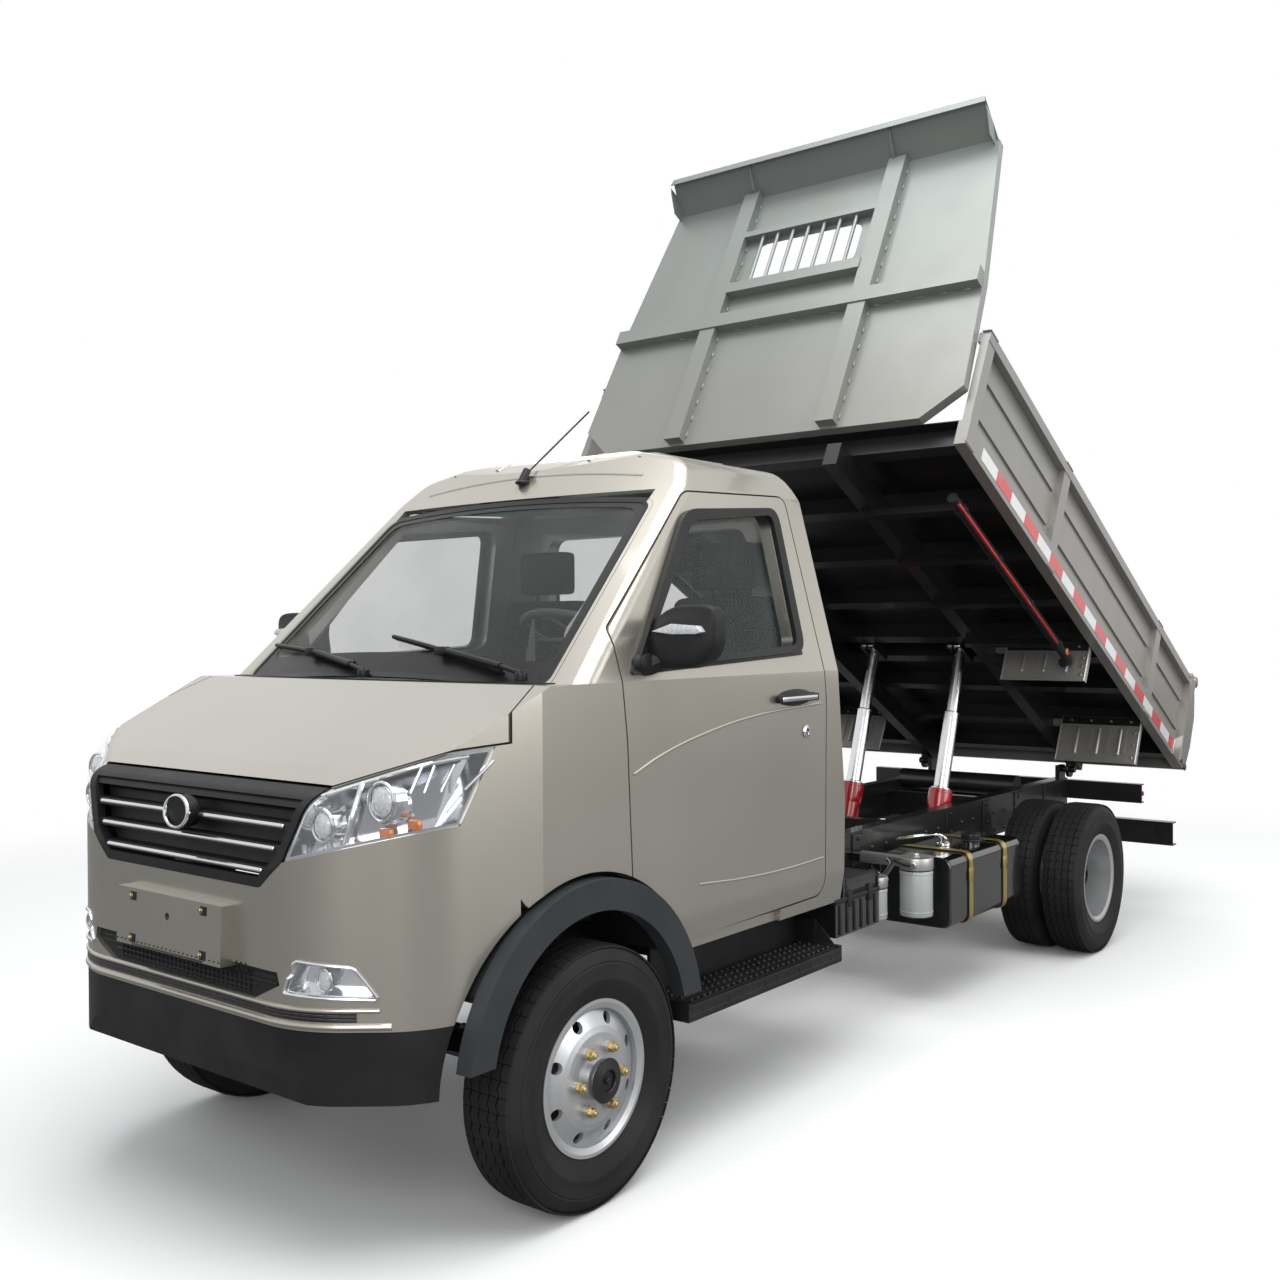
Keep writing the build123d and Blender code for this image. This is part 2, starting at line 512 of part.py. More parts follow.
def build_cab_floor():
    """Floor, dashboard, steering wheel and seats."""
    plan = [(-420, 100), (420, 100), (420, 378), (655, 378), (655, 1218), (-655, 1218), (-655, 378),
            (-420, 378)]
    floor = plan_slab(sharp(plan), CAB_FLOOR_Z, CAB_FLOOR_Z + 15)
    for y in (700, 1150):
        floor += block(-400, 400, y - 30, y + 30, RAIL_Z + RAIL_H, CAB_FLOOR_Z)
    wall = front_slab(sharp([(-420, CAB_FLOOR_Z), (420, CAB_FLOOR_Z), (420, 862), (655, 862), (655, 1289),
                             (-655, 1289), (-655, 862), (-420, 862)]), 100, 115)
    base = block(-600, 600, 640, 1180, CAB_FLOOR_Z + 15, SEAT_Z)
    base -= block(-590, 590, 650, 1170, CAB_FLOOR_Z + 15, SEAT_Z - 10)
    keep("cab_floor", floor + wall + base)
    shell = Pos(0, ARCH_Y, ARCH_Z) * Rot(0, 90, 0) * (Cylinder(LINER_R, 2000) - Cylinder(LINER_R - 9, 2000))
    shell &= block(430, 900, -900, 900, CAB_BASE_Z, 1000)
    shell = (shell & block(430, 668, -900, 900, 0, 1000)) \
        + (shell & block(430, FLARE_X - 46, -900, 125, 0, 1000))
    shell -= block(300, 900, -900, -395, 0, 1000)
    shell += block(RAIL_X, 440, 380, 400, CAB_BASE_Z + 6, CAB_BASE_Z + 42)
    keep("wheel_liners", shell, flipped(shell))
    dash = side_slab([(21, 1291, 0), (21, 1326, 0), (290, 1334, 20), (342, 1290, 25), (318, 1130, 30),
                      (232, 1052, 20), (115, 1052, 0), (115, 1291, 0)], -645, 645)
    centre, up = Vector(*WHEEL_CENTRE), Vector(0, sin(radians(WHEEL_LEAN)), cos(radians(WHEEL_LEAN)))
    column = bar(centre - up * 260, centre - up * 42, 30) + bar(centre - up * 60, centre + up * 4, 11)
    keep("dashboard", (dash - roof_shell) + column)
    hub = extrude(Plane(origin=centre - up * 34, z_dir=up) * (Circle(42) - Circle(11 + BORE_GAP)), amount=36)
    plane = Plane(origin=centre, x_dir=(1, 0, 0), z_dir=up)
    rim = plane * Torus(STEER_R, 13)
    spoke = Pos(STEER_R / 2 + 18, 0, 0) * Box(STEER_R - 42, 30, 12)
    spokes = [plane * (Pos(0, 0, -12) * (Rot(0, 0, turn) * spoke))
              for turn in (0, 180, 270)]
    wheel = hub + rim
    for spoke in spokes:
        wheel += spoke
    keep("steering_wheel", wheel)
    cushion = block(188, 600, 645, 1085, SEAT_Z + FACE_GAP, SEAT_Z + 110)
    cushion = fillet(cushion.edges(), 30)
    back_z = SEAT_Z + 110 + FACE_GAP
    back = side_slab([(1000, back_z, 20), (1105, back_z, 20), (1138, 1550, 35), (1055, 1560, 35)], 196, 592)
    back = fillet(back.edges().filter_by(Axis.X, reverse=True).group_by(Axis.X)[0]
                  + back.edges().filter_by(Axis.X, reverse=True).group_by(Axis.X)[-1], 18)
    head = fillet(block(285, 505, 1040, 1112, 1585, 1738).edges(), 26)
    posts = bar((345, 1082, 1530), (345, 1078, 1600), 6) + bar((445, 1082, 1530), (445, 1078, 1600), 6)
    keep("seats", cushion, back + head + posts, flipped(cushion), flipped(back + head + posts))


def build_side_gear():
    """Fuel tank, filters and battery on the left, steps on both sides, beams at the rear."""
    tank = Pos(570, 2440, 444) * extrude(Plane.XZ * RectangleRounded(300, 268, 34), amount=330, both=True)
    tank += Pos(640, 2470, 578) * Cylinder(34, 60)
    for y in (2280, 2610):
        band = Pos(570, y, 444) * extrude(
            Plane.XZ * (RectangleRounded(308, 276, 38) - RectangleRounded(296, 264, 32)), amount=15, both=True)
        tank += band
        tank += block(RAIL_X, 430, y - 22, y + 22, 500, 545)
    keep("fuel_tank", tank)
    battery = block(470, 716, 1242, 1540, 440, 554) + block(470, 716, 1292, 1540, 554, 618)
    battery += block(RAIL_X, 470, 1300, 1490, 500, 530)
    heads = block(RAIL_X, 660, 1588, 1612, 552, 580) + Pos(660, 1600, 566) * Cylinder(52, 36) \
        + block(RAIL_X, 650, 1948, 1972, 560, 590) + Pos(650, 1960, 578) * Cylinder(62, 44)
    cans = Pos(660, 1600, 495) * Cylinder(50, 106) + Pos(650, 1960, 470) * Cylinder(60, 174)
    keep("side_boxes", battery, heads + cans)
    step = block(560, 742, 392, 1236, 372, 424)
    step -= block(575, 900, 410, 1218, 412, 440)
    for x in range(590, 730, 22):
        step += block(x, x + 10, 410, 1218, 411, 420)
    step += block(560, 572, 440, 1236, 372, CAB_BASE_Z - 1)
    step += side_slab(sharp([(1222, 372), (1236, 372), (1236, 500), (1222, 500)]), 560, 650)
    for y in (560, 1060):
        step += block(RAIL_X, 562, y - 20, y + 20, 490, 530)
    keep("steps", step, flipped(step))
    lamp_beam = block(0, 751, RAIL_REAR, RAIL_REAR + 44, 556, 652) \
        - block(-1, 760, RAIL_REAR + 6, RAIL_REAR + 60, 562, 646)
    guard_y = RAIL_REAR + 210
    under = block(0, 845, guard_y, guard_y + 60, 320, 440) - block(-1, 900, guard_y + 6, guard_y + 70, 326, 434)
    plate = side_slab(sharp([(guard_y - 380, RAIL_Z), (guard_y - 240, RAIL_Z), (guard_y, 436), (guard_y, 324),
                             (guard_y - 60, 324), (guard_y - 380, 440)]), 322, 340)
    beams = under + plate
    keep("rear_beams", lamp_beam + flipped(lamp_beam), beams + flipped(beams))
    lamp = block(560, 740, RAIL_REAR + 6, RAIL_REAR + 52, 563, 645)
    keep("tail_lamps", lamp, flipped(lamp))


def build_wheels():
    """Tyres, rims, knuckles and the tie rod."""
    tread, wall = TYRE_R, TYRE_W / 2
    tyre_outline = sharp([(-63, 178.5), (-63, 197), (-wall, 242), (-wall, 272), (-wall + 16, tread - 5),
                          (-30, tread), (30, tread), (wall - 16, tread - 5), (wall, 272), (wall, 242), (63, 197), (63, 178.5),
                          (50, 178.5), (72, 245), (0, 314), (-72, 245), (-50, 178.5)])
    barrel = [(-68, RIM_FLANGE_R), (-64, RIM_FLANGE_R), (-63.7, 178), (63.7, 178), (64, RIM_FLANGE_R),
              (68, RIM_FLANGE_R), (68, 186), (62, 171), (-62, 171), (-68, 186)]
    front_disc = [(34, 174), (44, 174), (66, 128), (70, 112), (70, 46), (-48, 46), (-48, 60), (58, 66),
                  (60, 106), (54, 126)]
    rear_disc = [(-62, 174), (-52, 174), (-80, 140), (-93, 116), (-93, 60), (-40, 52), (-34, 40), (-98, 40),
                 (-98, 118), (-88, 140)]
    for side, tag in ((1, "left"), (-1, "right")):
        turn = (lambda shape: shape) if side > 0 else flipped
        tyre = spun(tyre_outline, 0)
        keep("tyre_front_" + tag, turn(Pos(FRONT_TYRE_X, 0, TYRE_R) * tyre))
        keep("tyre_rear_" + tag, turn(Pos(REAR_TYRE_X, WHEELBASE, TYRE_R) * tyre),
             turn(Pos(REAR_TYRE_X - TWIN_PITCH, WHEELBASE, TYRE_R) * tyre))
        rim = spun(sharp(barrel), 0) + spun(sharp(front_disc), 0)
        for i in range(8):
            angle = radians(360 / 8 * i + 22.5)
            rim -= Pos(50, 148 * cos(angle), 148 * sin(angle)) * Rot(0, 90, 0) * Cylinder(15, 60)
        for i in range(STUDS):
            angle = radians(360 / STUDS * i)
            rim += Pos(76, HUB_PCD_R * cos(angle), HUB_PCD_R * sin(angle)) * Rot(0, 90, 0) * Cylinder(13, 16)
        rim -= Rot(0, 90, 0) * Cylinder(22 + BORE_GAP, 400)
        rim += Pos(70, 0, 0) * Rot(0, 90, 0) * (Cylinder(52, 30) - Cylinder(22 + BORE_GAP, 60))
        rim += Pos(88, 0, 0) * Rot(0, 90, 0) * Cylinder(36, 16)
        keep("rim_front_" + tag, turn(Pos(FRONT_TYRE_X, 0, TYRE_R) * rim))
        half = spun(sharp(barrel), 0) + spun(sharp(rear_disc), 0)
        for i in range(8):
            angle = radians(360 / 8 * i + 22.5)
            half -= Pos(-75, 146 * cos(angle), 146 * sin(angle)) * Rot(0, 90, 0) * Cylinder(15, 60)
        inner_half = Pos(-TWIN_PITCH, 0, 0) * mirror(half, about=Plane.YZ)
        hub = Pos(-98, 0, 0) * Rot(0, 90, 0) * Cylinder(58, 160)
        drum = Pos(-150, 0, 0) * Rot(0, 90, 0) * Cylinder(150, 70)
        drum -= Pos(-185, 0, 0) * Rot(0, 90, 0) * Cylinder(136, 70)
        twin = half + inner_half + hub + drum
        for i in range(STUDS):
            angle = radians(360 / STUDS * i)
            twin += Pos(-86, HUB_PCD_R * cos(angle), HUB_PCD_R * sin(angle)) * Rot(0, 90, 0) * Cylinder(13, 20)
        twin += Pos(-28, 0, 0) * Rot(0, 90, 0) * Cylinder(45, 40)
        twin -= Pos(-60, 0, 0) * Rot(0, 90, 0) * Cylinder(32 + BORE_GAP, 60) + Pos(-140, 0, 0) * Rot(0, 90, 0) \
            * Cylinder(32 + BORE_GAP, 220)
        keep("rim_rear_" + tag, turn(Pos(REAR_TYRE_X, WHEELBASE, TYRE_R) * twin))
    pivot = FRONT_PIVOT_X
    knuckle = block(pivot - 26, pivot + 46, -27, 27, 371, 396) \
        + block(pivot - 26, pivot + 46, -27, 27, 264, 289) \
        + block(pivot + 30, pivot + 46, -27, 27, 264, 396)
    knuckle += Pos(pivot, 0, 330) * Cylinder(KINGPIN_R, 110)
    knuckle += cross_bar(pivot + 44, FRONT_TYRE_X + 78, 0, TYRE_R, 22)
    knuckle += Pos(pivot + 49, 0, TYRE_R) * Rot(0, 90, 0) * Cylinder(140, 6)
    knuckle += block(pivot - 14, pivot + 12, 20, STEER_ARM, 264, 288) \
        + Pos(pivot, STEER_ARM, 276) * Cylinder(17, 24) \
        + Pos(pivot, STEER_ARM, 301) * Cylinder(9, 32)
    keep("knuckle_left", knuckle)
    keep("knuckle_right", flipped(knuckle))
    eye = Pos(pivot, STEER_ARM, 303) * Cylinder(18, 24)
    rod = cross_bar(14 - pivot, pivot - 14, STEER_ARM, 303, 10.5) + eye + flipped(eye)
    bore = Pos(pivot, STEER_ARM, 303) * Cylinder(9 + BORE_GAP, 60)
    keep("tie_rod", rod - bore - flipped(bore))


def raised(shape):
    """From the lowered bed to its raised place."""
    return Pos(0, HINGE_Y, HINGE_Z) * Rot(X=-TILT) * shape


def build_bed():
    """Floor, sills, cross members, sides, headboard, guards and tailgate."""
    front, rear, half = BED_REAR - BED_LEN, REAR_POST_Y, BED_HALF
    floor = block(-FLOOR_HALF, FLOOR_HALF, front, rear, FLOOR_TOP - FLOOR_T, FLOOR_TOP)
    keep("bed_floor", raised(floor))
    sill = block(SILL_X - SILL_W / 2, SILL_X + SILL_W / 2, front - 40, 92, SILL_Z0, SILL_Z1)
    ear = block(SILL_X - 8, SILL_X + 8, -40, 40, 0, SILL_Z0)
    ear += Pos(SILL_X, 0, 0) * Rot(0, 90, 0) * Cylinder(40, 16)
    sill = (sill + ear) - Pos(SILL_X, 0, 0) * Rot(0, 90, 0) * Cylinder(HINGE_PIN_R + BORE_GAP, 40)
    keep("bed_sills", raised(sill), raised(flipped(sill)))
    eye_y = BED_REAR - CYL_EYE_S
    members = []
    for y in (-2700, -2320, -1940, -1560, -700, -320, 60):
        members.append(block(-FLOOR_HALF, FLOOR_HALF, y - 28, y + 28, SILL_Z1, FLOOR_TOP - FLOOR_T))
    pair = block(-FLOOR_HALF, FLOOR_HALF, eye_y - 130, eye_y - 70, SILL_Z1, FLOOR_TOP - FLOOR_T) \
        + block(-FLOOR_HALF, FLOOR_HALF, eye_y + 70, eye_y + 130, SILL_Z1, FLOOR_TOP - FLOOR_T)
    for x in (CYL_X - 38, CYL_X + 30.5):
        lug = block(x, x + 7.5, eye_y - 75, eye_y + 75, 100, FLOOR_TOP - FLOOR_T)
        pair += lug
        pair += flipped(lug)
    keep("bed_cross_members", *[raised(m) for m in members], raised(pair))
    skin = half - 34
    side = block(skin, skin + 4, front, rear - 4, FLOOR_TOP, SIDE_TOP - 39)
    side += block(FLOOR_HALF, half, front, rear - 4, BED_BASE, FLOOR_TOP)
    side += block(FLOOR_HALF, half, front, rear - 4, SIDE_TOP - 41, SIDE_TOP)
    for y0, y1, x1 in ((front, front + 60, half - 2), (-1915, -1845, half - 2), (-530, -460, half - 2),
                       (rear - 70, rear, half + 8)):
        side += block(skin, x1, y0, y1, BED_BASE + 20, SIDE_TOP - 10)
    for y0, y1 in ((front + 90, -1945), (-1815, -560), (-430, rear - 100)):
        side += block(skin + 3, skin + 12, y0, y1, 270, 300) + block(skin + 3, skin + 12, y0, y1, 430, 460)
    ear = block(half - 20, half - 6, rear - 30, GATE_Y + 24, SIDE_TOP - 29, GATE_Z + 26)
    ear -= Pos(half - 13, GATE_Y, GATE_Z) * Rot(0, 90, 0) * Cylinder(GATE_PIN_R + BORE_GAP, 60)
    keep("bed_sides", raised(side + ear), raised(flipped(side + ear)))
    right_edge = [(half - 185, 200), (half - 37, 325), (half - 58, 806), (HEAD_TOP_HALF, 1527)]
    outline = sharp(right_edge + [(-x, z) for x, z in reversed(right_edge)])
    face_y = front - HEAD_DEPTH
    shell = front_slab(outline, face_y, front)
    shell -= extrude(Plane.XZ.offset(-front) * offset(profile(outline), -30), amount=HEAD_DEPTH - 4)
    for x in (-357, 357):
        shell += block(x - 39, x + 39, face_y - 40, face_y, 212, 1527)
    shell += block(60 - half, half - 60, face_y - 46, face_y, 772, 840)
    shell += block(-320, 320, face_y - 46, face_y, 952, 1004)
    shell += block(-320, 320, face_y - 40, face_y, 1262, 1292)
    hole = [(-255, 1030, 45), (255, 1030, 45), (255, 1238, 45), (-255, 1238, 45)]
    shell -= front_slab(hole, face_y - 10, front + 10)
    for i in range(7):
        shell += bar((-228 + 76 * i, face_y - 22, 990), (-228 + 76 * i, face_y - 22, 1275), 8)
    lip = side_slab(sharp([(front, 1527), (face_y, 1527), (face_y - 141, 1614), (face_y - 141, 1590),
                           (face_y - 145, 1590), (face_y - 145, 1620), (face_y, 1533), (front, 1533)]),
                    -HEAD_TOP_HALF, HEAD_TOP_HALF)
    tip = HEAD_TOP_HALF - 29
    taper = front_slab(sharp([(-HEAD_TOP_HALF, 1500), (HEAD_TOP_HALF, 1500), (tip, 1640), (-tip, 1640)]),
                       face_y - 200, front)
    cheek = side_slab(sharp([(face_y, 1440), (face_y - 145, 1590), (face_y - 145, 1618), (face_y, 1530)]),
                      HEAD_TOP_HALF - 17, HEAD_TOP_HALF - 13)
    rib = side_slab(sharp([(face_y, 1500), (face_y - 60, 1527), (face_y - 130, 1600), (face_y - 130, 1611),
                           (face_y, 1529)]), 340, 344)
    shell += (lip & taper) + (cheek & taper) + (flipped(cheek) & taper) + rib + flipped(rib)
    keep("headboard", raised(shell))
    guard = bar((800, -2564, 16), (800, -1274, 16), 19)
    for y in (-2480, -2120, -1760, -1400):
        guard += block(SILL_X - 22, 796, y - 18, y + 18, SILL_Z0 - 30, SILL_Z0)
    plates = []
    x1, z1 = FLOOR_HALF - 6, SILL_Z1
    for y, x0, z0 in ((-1194, 490, -60), (-394, 482, -110)):
        plate = block(x0, x1, y - 2, y + 2, z0, z1)
        for x in (x0 + 80, x0 + 160, x0 + 240, x0 + 320):
            plate += block(x - 8, x + 8, y - 7, y + 2, z0 + 50, z1 - 60)
        plate += block(SILL_X + SILL_W / 2, x0 + 20, y - 2, y + 22, 80, 110)
        plates.append(plate)
    keep("bed_guards", *[raised(s) for shape in (guard, *plates) for s in (shape, flipped(shape))])
    gate_side = profile([(GATE_Y - 20, BED_BASE, 0), (GATE_Y + 34, BED_BASE + 18, 8), (GATE_Y + 72, 260, 20),
                         (GATE_Y + 72, 430, 20), (GATE_Y + 20, 545, 8), (GATE_Y - 20, 545, 0)])
    gate = outline_slab(gate_side, 4 - half, half - 4)
    gate -= outline_slab(offset(gate_side, -5), 9 - half, half - 9)
    arm = block(half - 46, half - 26, GATE_Y - 14, GATE_Y + 14, 540, GATE_Z + GATE_PIN_R)
    arm += bar((half - 28, GATE_Y, GATE_Z), (half + 8, GATE_Y, GATE_Z), GATE_PIN_R)
    keep("tailgate", raised(gate + arm + flipped(arm)))


def build_cylinders():
    """Two telescopic lift cylinders, from the foot up to the eye under the bed."""
    lean = degrees(atan2(CYL_EYE_REST[0] - CYL_FOOT_Y, CYL_EYE_REST[1] - CYL_FOOT_Z))
    length = hypot(CYL_EYE_REST[0] - CYL_FOOT_Y, CYL_EYE_REST[1] - CYL_FOOT_Z)
    stage_top, barrel_top = 801, 433
    def upright(radius, low, high):
        return Pos(0, 0, (low + high) / 2) * Cylinder(radius, high - low)
    barrel = upright(BARREL_R, 28, barrel_top - 40) + upright(BARREL_R + 6, barrel_top - 70, barrel_top)
    barrel += Rot(0, 90, 0) * Cylinder(36, 50)
    barrel -= upright(STAGE_R + BORE_GAP, 44, barrel_top + 10)
    barrel -= Rot(0, 90, 0) * Cylinder(CYL_PIN_R + BORE_GAP, 80)
    stage = upright(STAGE_R, 316, stage_top) - upright(ROD_R + BORE_GAP, 300, stage_top + 10)
    rod = upright(ROD_R, stage_top - 118, length - 10)
    rod += Pos(0, 0, length) * Rot(0, 90, 0) * Cylinder(28, 50)
    rod += Pos(0, 0, length) * Rot(0, 90, 0) * Cylinder(14, 60)
    for name, shape in (("cylinder_barrels", barrel), ("cylinder_stages", stage), ("cylinder_rods", rod)):
        placed = Pos(CYL_X, CYL_FOOT_Y, CYL_FOOT_Z) * Rot(X=-lean) * shape
        keep(name, placed, flipped(placed))


def glass_point(x, along, lift):
    """Point over the windscreen, along it from its base and lifted off it."""
    bow = x * x / (2 * WINDSCREEN_R)
    return SCREEN_BASE + SCREEN_ALONG * along + SCREEN_OUT * (lift - bow - 6) + Vector(x, 0, 0)


def build_trim():
    """Wipers resting on the glass and the roof antenna."""
    wipers = []
    for pivot, heel_x, tip_x in (((-20, -100), -60, -590), ((560, -72), 520, -20)):
        foot = Pos(*pivot, BELT_Z + 14.8) * Cylinder(11, 25)
        heel, tip = glass_point(heel_x, 16, 21), glass_point(tip_x, 128, 21)
        middle = heel + (tip - heel) * 0.5 + SCREEN_OUT * 6
        arm = bar((*pivot, BELT_Z + 20), middle, 4.5)
        wipers.append(foot + arm + bar(heel, tip, 5.5) + Pos(*middle) * Sphere(9))
    keep("wipers", *wipers)
    base = bar((0, 520, 1915), (0, 552, 1962), 13) - offset_up
    keep("antenna", base + bar((0, 545, 1948), (0, 856, 2187), 3))


SPRINGS = []
build_doors()
build_cab_shell()
build_nose()
build_frame()
build_axles()
build_driveline()
build_cab_floor()
build_side_gear()
build_wheels()
build_bed()
build_cylinders()
build_trim()

boxes = [shape.bounding_box() for shape in NODES.values()]
ORIGIN_Y = (min(box.min.Y for box in boxes) + max(box.max.Y for box in boxes)) / 2
os.makedirs("parts", exist_ok=True)
for name, shape in NODES.items():
    moved = Compound(children=[Pos(0, -ORIGIN_Y, 0) * solid for solid in shape.solids()])
    export_step(moved, f"parts/{name}.step")
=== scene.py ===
"""Light dump truck with its load bed raised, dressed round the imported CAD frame."""
import json
import math

import bmesh
import bpy
from bpy.props import FloatProperty, FloatVectorProperty, IntProperty, PointerProperty
from mathutils import Matrix, Vector


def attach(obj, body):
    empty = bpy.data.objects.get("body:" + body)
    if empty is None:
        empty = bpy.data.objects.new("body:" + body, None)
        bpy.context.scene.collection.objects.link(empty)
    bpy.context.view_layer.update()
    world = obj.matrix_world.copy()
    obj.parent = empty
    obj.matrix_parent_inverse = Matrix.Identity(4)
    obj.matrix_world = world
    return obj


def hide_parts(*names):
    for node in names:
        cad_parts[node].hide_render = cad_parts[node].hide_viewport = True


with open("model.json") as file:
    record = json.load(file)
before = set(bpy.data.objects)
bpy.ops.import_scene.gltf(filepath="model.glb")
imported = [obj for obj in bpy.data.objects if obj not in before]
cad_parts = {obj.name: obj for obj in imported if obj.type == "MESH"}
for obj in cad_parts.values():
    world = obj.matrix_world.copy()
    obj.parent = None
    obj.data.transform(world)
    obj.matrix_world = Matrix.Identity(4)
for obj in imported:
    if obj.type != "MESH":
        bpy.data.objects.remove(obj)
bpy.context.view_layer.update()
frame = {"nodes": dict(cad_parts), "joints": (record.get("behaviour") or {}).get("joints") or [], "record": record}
PIVOT = {joint["name"]: Vector(joint["pos_m"]) for joint in frame["joints"] if "pos_m" in joint}
SLOT_OF = {part["node"]: part["material_slot"] for part in frame["record"]["subparts"]}

bl_info = {
    "name": "Dump truck",
    "version": (1, 0, 0),
    "blender": (4, 5, 0),
    "location": "View3D > Sidebar > Dump truck",
    "description": "Light dump truck with a raised load bed, piece by piece",
    "category": "Object",
}

# Places in metres: y is counted from the front axle and moved to the imported frame by spot.
# The load bed is drawn flat, with its hinge at the origin, and raised by BED. BED_SIDE is the
# outer face of its sides, SHADED_UNDER_BED the height over its hinge up to which its floor is painted black as
# painted shade, and TWIN_OFFSET how far each rear tyre of a side stands from the pair's middle.
AXLE_Y = PIVOT["roll_front_left"].y
HINGE = PIVOT["bed_tip"]
BED_TILT = math.radians(27.9)
BED = Matrix.Translation(HINGE) @ Matrix.Rotation(-BED_TILT, 4, "X")
BED_SIDE = 0.9165
SHADED_UNDER_BED = 0.2005
TWIN_OFFSET = 0.098
SCREEN_BASE = Vector((0, -0.075, 1.345))
SCREEN_SLOPE = math.radians(43.2)
SCREEN_BOW = 5.0
SCREEN_SETBACK = 0.006
CAB_SIDE = 0.741
BELT_Z = 1.258
SIDE_LEAN = 0.1967
CYLINDER_X = 0.227
LUG_ALONG = 1.119
LUG_UP = 0.145
SEAT_X = 0.394
TANK_X = 0.57
TANK_Z = 0.444
PLATE_BOLTS = [(x, z) for x in (-0.158, 0.142) for z in (0.694, 0.798)]
SIDES = ((1, "left"), (-1, "right"))


def spot(x, y, z):
    """A point counted from the front axle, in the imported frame."""
    return Vector((x, y + AXLE_Y, z))


def on_screen(x, up, lift=0.0):
    """A point over the windscreen's outer face, up metres above its base."""
    along = Vector((0, math.cos(SCREEN_SLOPE), math.sin(SCREEN_SLOPE)))
    out = Vector((0, -math.sin(SCREEN_SLOPE), math.cos(SCREEN_SLOPE)))
    bow = x * x / (2 * SCREEN_BOW)
    return spot(*(SCREEN_BASE + along * up + out * (lift - bow - SCREEN_SETBACK) + Vector((x, 0, 0))))


def side_x(z):
    """Half width of the cab's outer face at a height above the belt line."""
    return CAB_SIDE - (z - BELT_Z) * SIDE_LEAN


# Sizes and colours that a user may change


def colour_choice(name, description, default):
    return FloatVectorProperty(name=name, description=description, subtype="COLOR", default=default)


def length_choice(name, description, default):
    return FloatProperty(name=name, description=description, unit="LENGTH", default=default)


def angle_choice(name, description, degrees):
    return FloatProperty(name=name, description=description, unit="ROTATION", default=math.radians(degrees))


class CameraSettings(bpy.types.PropertyGroup):
    place: FloatVectorProperty(name="Place", description="Camera place from the front axle", size=3,
                               default=(2.844, -2.485, 1.451), unit="LENGTH")
    yaw: angle_choice("Yaw", "Turn to the left", 38.215)
    pitch: angle_choice("Pitch", "Downward tilt", 0.424)
    roll: angle_choice("Roll", "Lean of the frame", 0.325)
    lens: FloatProperty(name="Lens", description="Focal length on a 36 mm sensor", default=36.6,
                        unit="CAMERA")


class PaintSettings(bpy.types.PropertyGroup):
    cab: colour_choice("Cab paint", "Champagne body colour", (0.42, 0.398, 0.35))
    bed: colour_choice("Bed paint", "Grey of the load bed", (0.25, 0.255, 0.245))
    frame_black: colour_choice("Frame black", "Chassis paint", (0.0065, 0.007, 0.0075))
    red: colour_choice("Cylinder red", "Paint of the lift cylinders", (0.56, 0.012, 0.02))
    strap: colour_choice("Strap yellow", "Plating of the tank straps", (0.52, 0.42, 0.13))
    dust: colour_choice("Dust", "Road dust low on the truck", (0.23, 0.21, 0.18))


class TyreSettings(bpy.types.PropertyGroup):
    radius: length_choice("Radius", "Over the tread", 0.33)
    width: length_choice("Width", "Between the sidewalls", 0.168)
    groove: length_choice("Groove depth", "Depth of the tread", 0.008)
    pitches: IntProperty(name="Pitches", description="Repeats of the tread round the tyre", default=54)


class BedSettings(bpy.types.PropertyGroup):
    tape_length: length_choice("Tape length", "One red or white block", 0.148)
    tape_width: length_choice("Tape width", "Height of the marking tape", 0.05)


SETTINGS = {"truck_camera": CameraSettings, "truck_paint": PaintSettings, "truck_tyre": TyreSettings,
            "truck_bed": BedSettings}


# Shader sums and node making


class Amount:
    """A number socket; a sum on it adds a Math node."""

    def __init__(self, finish, socket):
        self.finish = finish
        self.socket = socket

    def sum(self, operation, first, second, clamp=False):
        node = self.finish.node("ShaderNodeMath", {"operation": operation, "use_clamp": clamp},
                                {0: first, 1: second})
        return Amount(self.finish, node.outputs[0])

    def __add__(self, other):
        return self.sum("ADD", self, other)

    def __sub__(self, other):
        return self.sum("SUBTRACT", self, other)

    def __rsub__(self, other):
        return self.sum("SUBTRACT", other, self)

    def __mul__(self, other):
        return self.sum("MULTIPLY", self, other)

    def __lt__(self, other):
        return self.sum("LESS_THAN", self, other)

    def __abs__(self):
        return self.sum("ABSOLUTE", self, 0.0)

    def clamped(self):
        return self.sum("ADD", self, 0.0, clamp=True)

    def step(self, low, high):
        """0 below low, 1 above high and smooth between."""
        node = self.finish.node("ShaderNodeMapRange", {"interpolation_type": "SMOOTHSTEP"},
                                {"Value": self, "From Min": low, "From Max": high})
        return Amount(self.finish, node.outputs["Result"])

    __radd__ = __add__
    __rmul__ = __mul__


MATERIAL = {}


